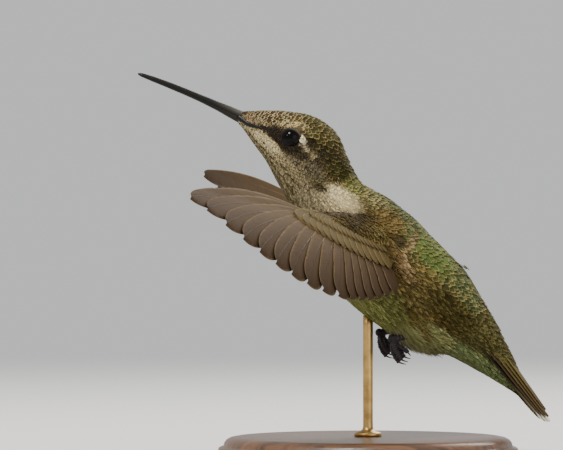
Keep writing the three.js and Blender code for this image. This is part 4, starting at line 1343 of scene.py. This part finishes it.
def long_vane(carry, root, tip, width, bow, step, lift, seed, point=0.07, rows=44, columns=9):
    """One stiff feather: a thin closed plate, and the shaft along it.

    It is drawn in a flat frame of (along, back, up) that carry() takes to the part. It runs from
    root to tip, bowed to the front by a parabola. Its width grows like a quarter sine wave to half
    way, narrows a little, and closes in an ellipse over the last share given by point. Its front
    side is raised by the step and its back side lowered, and here and there its edge is notched.
    Returns the plate's points and faces, (across, along, length) at each point, and the shaft.
    """
    random = np.random.default_rng(seed)
    root, tip = np.array(root, float), np.array(tip, float)
    length = np.linalg.norm(tip - root)
    heading = (tip - root) / length
    front = np.array([heading[1], -heading[0]])
    t = (1 - (1 - np.linspace(0, 1, rows)) ** 1.6)[:, None]
    side = np.linspace(-1, 1, columns)[None, :]
    grown = 0.3 + 0.7 * np.sin(np.pi / 2 * np.clip(t / 0.5, 0, 1)) - 0.12 * smooth(0.5, 1, t)
    closing = np.sqrt(np.clip(1 - (np.clip(t - 1 + point, 0, 1) / point) ** 2, 0.0016, 1))
    notched = random.uniform(0, 1, (rows, columns)) > 0.88
    edge = 1 - 0.08 * notched * (np.abs(side) > 0.9) * smooth(0.15, 0.3, t) * (t < 0.8)
    from_shaft = np.where(side < 0, -side * LEADING_SHARE, side * (LEADING_SHARE - 1))
    offset = from_shaft * width * grown * closing * edge
    turn = 4 * bow * (1 - 2 * t)[..., None]
    forwards = (front - heading * turn) / np.hypot(1, turn)
    middle = root + heading * (length * t)[..., None] + front * (4 * bow * length * t * (1 - t))[..., None]
    out, back = np.moveaxis(middle + forwards * offset[..., None], -1, 0)
    height = lift - step * side - 0.03 * width * side**2
    half = mix(0.07, 0.025, np.abs(side)) * mix(1, 0.5, t)
    ring = np.concatenate([carry(out, back, height + half), carry(out, back, height - half)[:, ::-1]], 1)
    shaft = carry(*middle[:, 0].T, np.full(rows, lift + 0.02))
    radii = width * mix(0.03, 0.008, t[:, 0] ** 0.8)
    across = np.concatenate([side, side[:, ::-1]], 1)
    place = np.stack(np.broadcast_arrays(across, t, length), -1)
    return ring, closed_rings(rows, 2 * columns), place, tube(shaft, radii, 6)


def feather_pieces(name, side, feathers, seed, slot, node):
    """A piece of vanes and a piece of their shafts, from a list of (shape, look) pairs. A look gives
    (share of the length, colour) stops, the fringe, how worn the edge is and the shine. In the bake
    map each vane is a strip of its own, on which both faces lie over each other."""
    vanes, shafts = [], []
    for number, (shape, look) in enumerate(feathers):
        ring, faces, place, (quill, quill_faces) = long_vane(seed=seed + number, **shape)
        across, along = place[..., 0], place[..., 1]
        stops, colours = zip(*look["tints"])
        bands = np.transpose([shade(*colour) for colour in colours])
        wide = np.ones(across.shape + (1,))
        strip = (number + 0.08 + 0.84 * (across + 1) / 2) / len(feathers)
        values = {
            "tint": np.stack([np.interp(along, stops, band) for band in bands], -1),
            "fringe": shade(*look["fringe"]) * wide,
            "vane": place,
            "habit": np.array([look["worn"], look["sheen"], (0.37 * number + 0.11) % 1]) * wide,
            "OFBake": np.stack([strip, 0.02 + 0.96 * along], -1),
        }
        vanes.append((ring, flipped(faces) if side > 0 else faces, values))
        reach = np.linspace(0, 1, len(quill))[:, None, None] * [0, 1, 0]
        shafts.append((quill, quill_faces, {"vane": np.broadcast_to(reach, quill.shape)}))
    add_piece(f"{name}_vanes", vanes, FLIGHT_VANES, slot, [node])
    add_piece(f"{name}_shafts", shafts, SHAFTS, slot, [node])


def rear_edge(out):
    """How far back the wing's rear edge lies at a place along the span."""
    hand = np.maximum(0, (out - WING["hand_end"]) / (WING["span"] + 0.6 - WING["hand_end"]))
    arm = np.maximum(0, (WING["hand_end"] - out) / WING["hand_end"])
    return WING["chord"] * (1 - hand**2.1) ** 0.7 * (1 - 0.2 * arm**2)


FLIGHT_VANES, SHAFTS = flight_feather_finish(), shaft_finish()
DUSKY = {"tints": [(0, (92, 76, 54)), (0.5, (82, 66, 48)), (1, (64, 50, 37))]}
DUSKY |= {"fringe": (116, 98, 74), "worn": 0.5, "sheen": 0.1}
BRONZED = {"tints": [(0, (78, 68, 42)), (1, (91, 77, 49))]}
BRONZED |= {"fringe": (128, 107, 70), "worn": 0.8, "sheen": 0.12}


def shares(count):
    """The share of the way along a row for each of a number of feathers."""
    return [number / (count - 1) for number in range(count)]


def wing_feathers(wing):
    """Ten primaries, six secondaries and two rows of coverts over their roots, each as its shape in
    the wing's flat frame and its look."""
    feathers = []
    vane = {"step": FLIGHT_STEP, "lift": 0.0}
    for t in shares(PRIMARIES["count"]):
        out = mix(PRIMARIES["tips_from"], WING["span"], 1.25 * t - 0.25 * t * t)
        root = [mix(WING["wrist"], WING["hand_end"], t), mix(*PRIMARIES["roots_back"], t)]
        tip = [out, WING["tip_set_back"] if t == 1 else rear_edge(out)]
        form = {"width": mix(*PRIMARIES["widths"], t * t), "bow": mix(0.05, 0.065, t)}
        form["point"] = mix(0.13, 0.19, t)
        feathers.append(({"root": root, "tip": tip, **form, **vane}, DUSKY))
    for t in shares(SECONDARIES["count"]):
        out = mix(*SECONDARIES["tips"], t)
        root = [mix(*SECONDARIES["roots"], t), SECONDARIES["roots_back"]]
        form = {"width": SECONDARIES["width"], "bow": 0.035, "point": 0.16}
        feathers.append(({"root": root, "tip": [out, rear_edge(out)], **form, **vane}, DUSKY))
    for count, roots, roots_back, lengths, width, lift in COVERTS:
        for t in shares(count):
            heading = np.radians(mix(88, 10, 1 - (1 - t) ** 0.8))
            root = np.array([mix(*roots, t), mix(*roots_back, t)])
            tip = root + mix(*lengths, t) * np.array([np.cos(heading), np.sin(heading)])
            form = {"width": width, "bow": 0.04, "step": 0.13, "lift": lift, "point": 0.24, "rows": 26}
            feathers.append(({"root": root, "tip": tip, **form}, BRONZED))
    carry = partial(wing_point, wing)
    return [({"carry": carry, **shape}, look) for shape, look in feathers]


for wing, seed in (("left", 200), ("right", 300)):
    name = f"wing_{wing}"
    feather_pieces(name, SIDES[wing], wing_feathers(wing), seed, "flight_feathers", name)


def tail_carrier(pair, side):
    """Takes a tail feather's flat frame to the part: each pair lies under the pair inside it, the
    layers close up towards the tip, and the fan is arched across by a parabola."""
    drop = np.radians(TAIL["drop_deg"])
    ahead, up = np.array([[np.cos(drop), 0, -np.sin(drop)], [np.sin(drop), 0, np.cos(drop)]])
    full = max(TAIL["lengths"])
    root = np.array([TAIL["tip"][0], 0, TAIL["tip"][1]]) - ahead * full
    under = pair + (0.5 if side > 0 else 0)

    def carry(along, inwards, height):
        share = np.clip(along / full, 0, 1)
        layer = mix(*TAIL["top"], share) - mix(*TAIL["layer"], share) * under
        layer = layer - mix(*TAIL["arch"], share) * np.asarray(inwards) ** 2
        across = np.array([0, -side, 0]) * np.asarray(inwards)[..., None]
        return root + ahead * np.asarray(along)[..., None] + across + up * (height + layer)[..., None]

    return carry


WHITE_END = [(0.965, (210, 206, 182)), (1, (210, 206, 182))]
# From the central pair outwards: the fringe, the shine, and (share of the length, colour) stops
TAIL_LOOKS = [
    [(106, 96, 57), 0.25, (0, (84, 78, 42)), (0.6, (97, 86, 48)), (0.84, (84, 68, 43)), (1, (70, 55, 39))],
    [(97, 87, 52), 0.25, (0, (80, 74, 40)), (0.6, (90, 80, 46)), (0.82, (82, 66, 42)), (1, (68, 54, 38))],
    [(91, 79, 49), 0.05, (0, (78, 70, 39)), (0.55, (84, 72, 42)), (0.8, (74, 58, 39)), (0.955, (66, 53, 38))],
    [(72, 61, 41), 0.05, (0, (69, 59, 35)), (0.45, (53, 44, 29)), (0.75, (60, 48, 35)), (0.93, (66, 54, 41))],
    [(50, 44, 32), 0.05, (0, (42, 37, 26)), (0.5, (27, 24, 18)), (0.7, (36, 30, 22)), (0.82, (78, 71, 52))],
]
for look in TAIL_LOOKS[2:]:
    look += WHITE_END
TAIL_LOOKS[4].insert(-2, (0.93, (102, 95, 74)))


def tail_feathers(side):
    """Five feathers of one side of the tail, from the middle outwards."""
    feathers = []
    for pair, (t, (fringe, sheen, *tints)) in enumerate(zip(shares(TAIL["pairs"]), TAIL_LOOKS)):
        spreads = (-mix(inner, outer, t) for inner, outer in zip(TAIL["inner_spread"], TAIL["outer_spread"]))
        root, tip = zip((0, TAIL["lengths"][pair]), spreads)
        form = {"width": TAIL["width"], "bow": TAIL["bow"], "step": -TAIL["step"], "lift": 0.0, "point": 0.1}
        look = {"tints": tints, "fringe": fringe, "worn": 0.5, "sheen": sheen}
        feathers.append(({"carry": tail_carrier(pair, side), "root": root, "tip": tip, **form}, look))
    return feathers


for name, seed in (("left", 400), ("right", 410)):
    side = SIDES[name]
    feather_pieces(f"tail_{name}", side, tail_feathers(side), seed, "tail_feathers", "tail")


# ---------------------------------------------------------------- small coverts of the wings
def arm_coverts(wing, seed):
    """Small feathers over the fleshy arm, on both faces, pointing back and out along the wing."""
    last = len(ARM_SECTIONS) - 1
    roots = scatter(arm_surface(wing), 0.1, last - 0.05, lambda place: mix(0.7, 0.5, place / last), seed)
    span, rearward, _ = wing_axes(wing, np.zeros(1))
    lean = np.radians(mix(18, 62, np.clip(roots.place / last, 0, 1)))[:, None]
    wanted = rearward * np.cos(lean) + span * np.sin(lean)
    roots.heading = unit(wanted - roots.normal * dot(wanted, roots.normal)[:, None])
    roots = roots.kept(np.cos(roots.angle) < 0.86)
    upper = smooth(-0.3, 0.3, np.sin(roots.angle) * SIDES[wing])
    front = smooth(0.3, 1.0, -np.cos(roots.angle))
    coat = Coat(roots.place, roots.angle, roots.at)
    coat.paint(np.ones(len(roots)), (70, 58, 42), (94, 80, 60), 0.5)
    coat.paint(upper, (60, 57, 29), (118, 94, 52), 0.66, 0.3)
    # Painted shade: the arm's front edge is darkened, partly the dark bend of the wing and partly the shade under the
    # neck.
    coat.paint(front * 0.7, (34, 28, 20), (62, 50, 34), 0.6, 0.05)
    # Painted shadow: a darker patch where the wing's root meets the body.
    coat.paint(coat.patch(-2.0, 37.8, 2.3, 2.4, 0, 0.6) * 0.7, (44, 38, 24), (74, 60, 38), 0.66, 0.1)
    length = mix(1.9, 1.3, np.clip(roots.place / last, 0, 1)) * roots.vary(0.15)
    high = 0.06 + 0.06 * roots.random.uniform(-1, 1, len(roots))
    layer = (roots, coat, length, lay_vanes(roots, length, length * 0.6, -ARM_COAT_DEPTH, high))
    coat_piece(f"arm_coverts_{wing}", layer, CLOSE_COAT, "flight_feathers", [f"wing_{wing}"], places=last)


arm_coverts("left", 500)
arm_coverts("right", 501)


# ---------------------------------------------------------------- legs and feet
def scaly_tube(line, radii, scutes, sides=14):
    """A tube whose skin is stepped into rings of scutes along it."""
    share = np.linspace(0, 1, len(line))
    wave = np.abs(np.sin(np.pi * scutes * share))
    points, faces = tube(line, np.asarray(radii) * (0.9 + 0.14 * wave), sides, (0.05, 1.0, 0.02))
    return points, faces, {"scute": wave[:, None] + np.zeros((1, sides))}


# Along a toe's line, counted in its joints: where its skin ends, and where its claw starts and ends
TOE_END, CLAW_REACH = 3.05, [2.75, 3.8]


def toe_parts(toe_root, steps):
    """A toe with a swelling at each joint, closed round its end, and the claw that hooks down from
    it by a parabola."""
    toe = Curve(np.vstack([toe_root, toe_root + np.array(steps)]))
    reach = np.linspace(0, TOE_END, 64)
    knuckle = 1 + 0.16 * np.cos(2 * np.pi * reach) ** 2
    closing = np.sqrt(np.clip((TOE_END + 0.05 - reach) / 0.12, 0, 1))
    skin = scaly_tube(toe.at(reach), mix(*LEG["toe"], reach / TOE_END) * knuckle * closing, 13, 12)
    share = np.linspace(0, 1, 24)
    line = toe.at(mix(*CLAW_REACH, share)) + np.array([0.25, 0, 0.12]) * (share**2)[:, None]
    claw, faces = tube(line, mix(*LEG["claw"], share), 10, (0.05, 1.0, 0.02))
    return skin, (claw, faces, {"scute": share[:, None] + np.zeros((1, 10))})


FOOT_SKIN, CLAW_HORN = foot_finish(), claw_finish()
for name, side in SIDES.items():
    heel, ankle = (np.array([x, side * LEG["from_middle"], z]) for x, z in LEGS[name])
    away = unit(ankle - heel)
    toe_root = ankle + away * (LEG["gap"] + LEG["pad"])
    share = np.linspace(0, 1, 60)
    shin = heel - away * 1.2 + (toe_root - heel + away * 1.2) * share[:, None]
    shin_radii = LEG["shank"] * (1.35 - 0.45 * np.sin(np.pi * share) + 0.1 * share)
    points, faces, values = ball(toe_root + away * 0.4, LEG["pad"] * 1.3, away, 14, 16)
    pad = (points, flipped(faces), {"scute": 0.6 + 0 * values["out"]})
    toes, claws = zip(*[toe_parts(toe_root, steps) for steps in TOES.values()])
    skin_parts = [scaly_tube(shin, shin_radii, 9), pad, *toes]
    add_piece(f"foot_skin_{name}", skin_parts, FOOT_SKIN, "foot_skin", [f"leg_{name}", f"foot_{name}"])
    add_piece(f"claws_{name}", claws, CLAW_HORN, "foot_skin", [f"foot_{name}"])


# ---------------------------------------------------------------- stand
def turned(profile, sides=160):
    """A closed solid of revolution about +Z through rings of [radius, height], from the bottom up."""
    radius, height = np.array(profile, float).T
    angle = np.linspace(0, 2 * np.pi, sides, endpoint=False)
    ring = [radius[:, None] * np.cos(angle), radius[:, None] * np.sin(angle), height[:, None] + 0 * angle]
    return np.stack(ring, -1), flipped(closed_rings(len(radius), sides)), {}


edge, top = STAND["radius"], STAND["thickness"]
# The base's profile from below: how far in from the edge, and how high
base_steps = [[1, 0], [0.4, 0], [0.12, 0.12], [0, 0.4], [0, 1.5], [0.1, 1.75], [0.4, 1.9], [0.8, 2.0]]
base_steps += [[0.9, 2.2], [1.0, 2.6], [1.35, 3.05], [1.9, 3.35], [2.7, top], [3.4, top], [8, top]]
base_profile = [[0.3, 0], *([edge - inset, height] for inset, height in base_steps), [0.3, top]]
add_piece("turned_base", [turned(base_profile)], wood_finish(), "stand_wood", ["stand_base"])

rod, collar, seat = ROD["radius"], ROD["collar_radius"], ROD["collar_height"]
rod_profile = [[0.1, top], [collar - 0.15, top], [collar, top + 0.1], [collar, top + 0.45 * seat]]
rod_profile += [[collar - 0.12, top + 0.55 * seat], [rod + 0.5, top + 0.75 * seat]]
rod_profile += [[rod + 0.1, top + seat], [rod, top + 1.3 * seat]]
rod_profile += [[rod, height] for height in np.linspace(top + 2 * seat, ROD["top"], 12)]
rod_profile += [[0.1, ROD["top"] + 0.1]]
add_piece("brass_rod", [turned(rod_profile, 48)], brass_finish(), "stand_metal", ["stand_rod"])


# ---------------------------------------------------------------- floor, light and camera
VIEW_CENTRE = np.array([-13.84, 0, 37.36])
VIEW_DISTANCE = 700
VIEW_WIDTH = 90.08  # of the picture, at the bird
SENSOR = 36
FLOOR_REACH = 1500
BIRD_MIDDLE = np.array([0.0, 0, 35])
# [name, place, width across, watts, colour]
LAMPS = [
    ["key", [-200, -330, 540], 175, 5.0, (1.0, 0.97, 0.92)],
    ["catch", [-450, -410, 370], 120, 0.65, (1.0, 0.98, 0.95)],
    ["fill", [420, -520, 160], 560, 1.3, (0.96, 0.98, 1.0)],
    ["rim", [260, 420, 380], 300, 2.4, (1.0, 0.98, 0.94)],
]

mesh = bpy.data.meshes.new("floor")
corners = np.array([[-1, -1, 0], [1, -1, 0], [1, 1, 0], [-1, 1, 0]]) * FLOOR_REACH * MM
mesh.from_pydata(corners.tolist(), [], [[0, 1, 2, 3]])
mesh.materials.append(floor_finish([0.78, 0.77, 0.75], 0.12, 0.6))
floor = add_object("floor", mesh)
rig.stage(floor)

for name, place, size, watts, colour in LAMPS:
    lamp = bpy.data.lights.new(name, "AREA")
    lamp.shape, lamp.size, lamp.energy, lamp.color = "DISK", size * MM, watts, colour
    holder = add_object(name, lamp)
    place = np.array(place, float)
    holder.location = place * MM
    holder.rotation_euler = Vector(BIRD_MIDDLE - place).to_track_quat("-Z", "Y").to_euler()

world = bpy.data.worlds.new("pale_room")
world.use_nodes = True
sky = world.node_tree.nodes["Background"].inputs
sky["Color"].default_value = (0.93, 0.95, 0.94, 1)
sky["Strength"].default_value = 0.68
bpy.context.scene.world = world

camera = bpy.data.cameras.new("camera")
camera.sensor_width, camera.lens = SENSOR, SENSOR * VIEW_DISTANCE / VIEW_WIDTH
camera.clip_start, camera.clip_end = 0.01, 20
viewer = add_object("camera", camera)
viewer.location = (VIEW_CENTRE - [0, VIEW_DISTANCE, 0]) * MM
viewer.rotation_euler = (np.pi / 2, 0, 0)
bpy.context.scene.camera = viewer

visual_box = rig.bounds()
with open("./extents.json", "w") as size_file:
    json.dump({"cad": [list(c) for c in cad_box], "visual": [list(c) for c in visual_box]}, size_file)
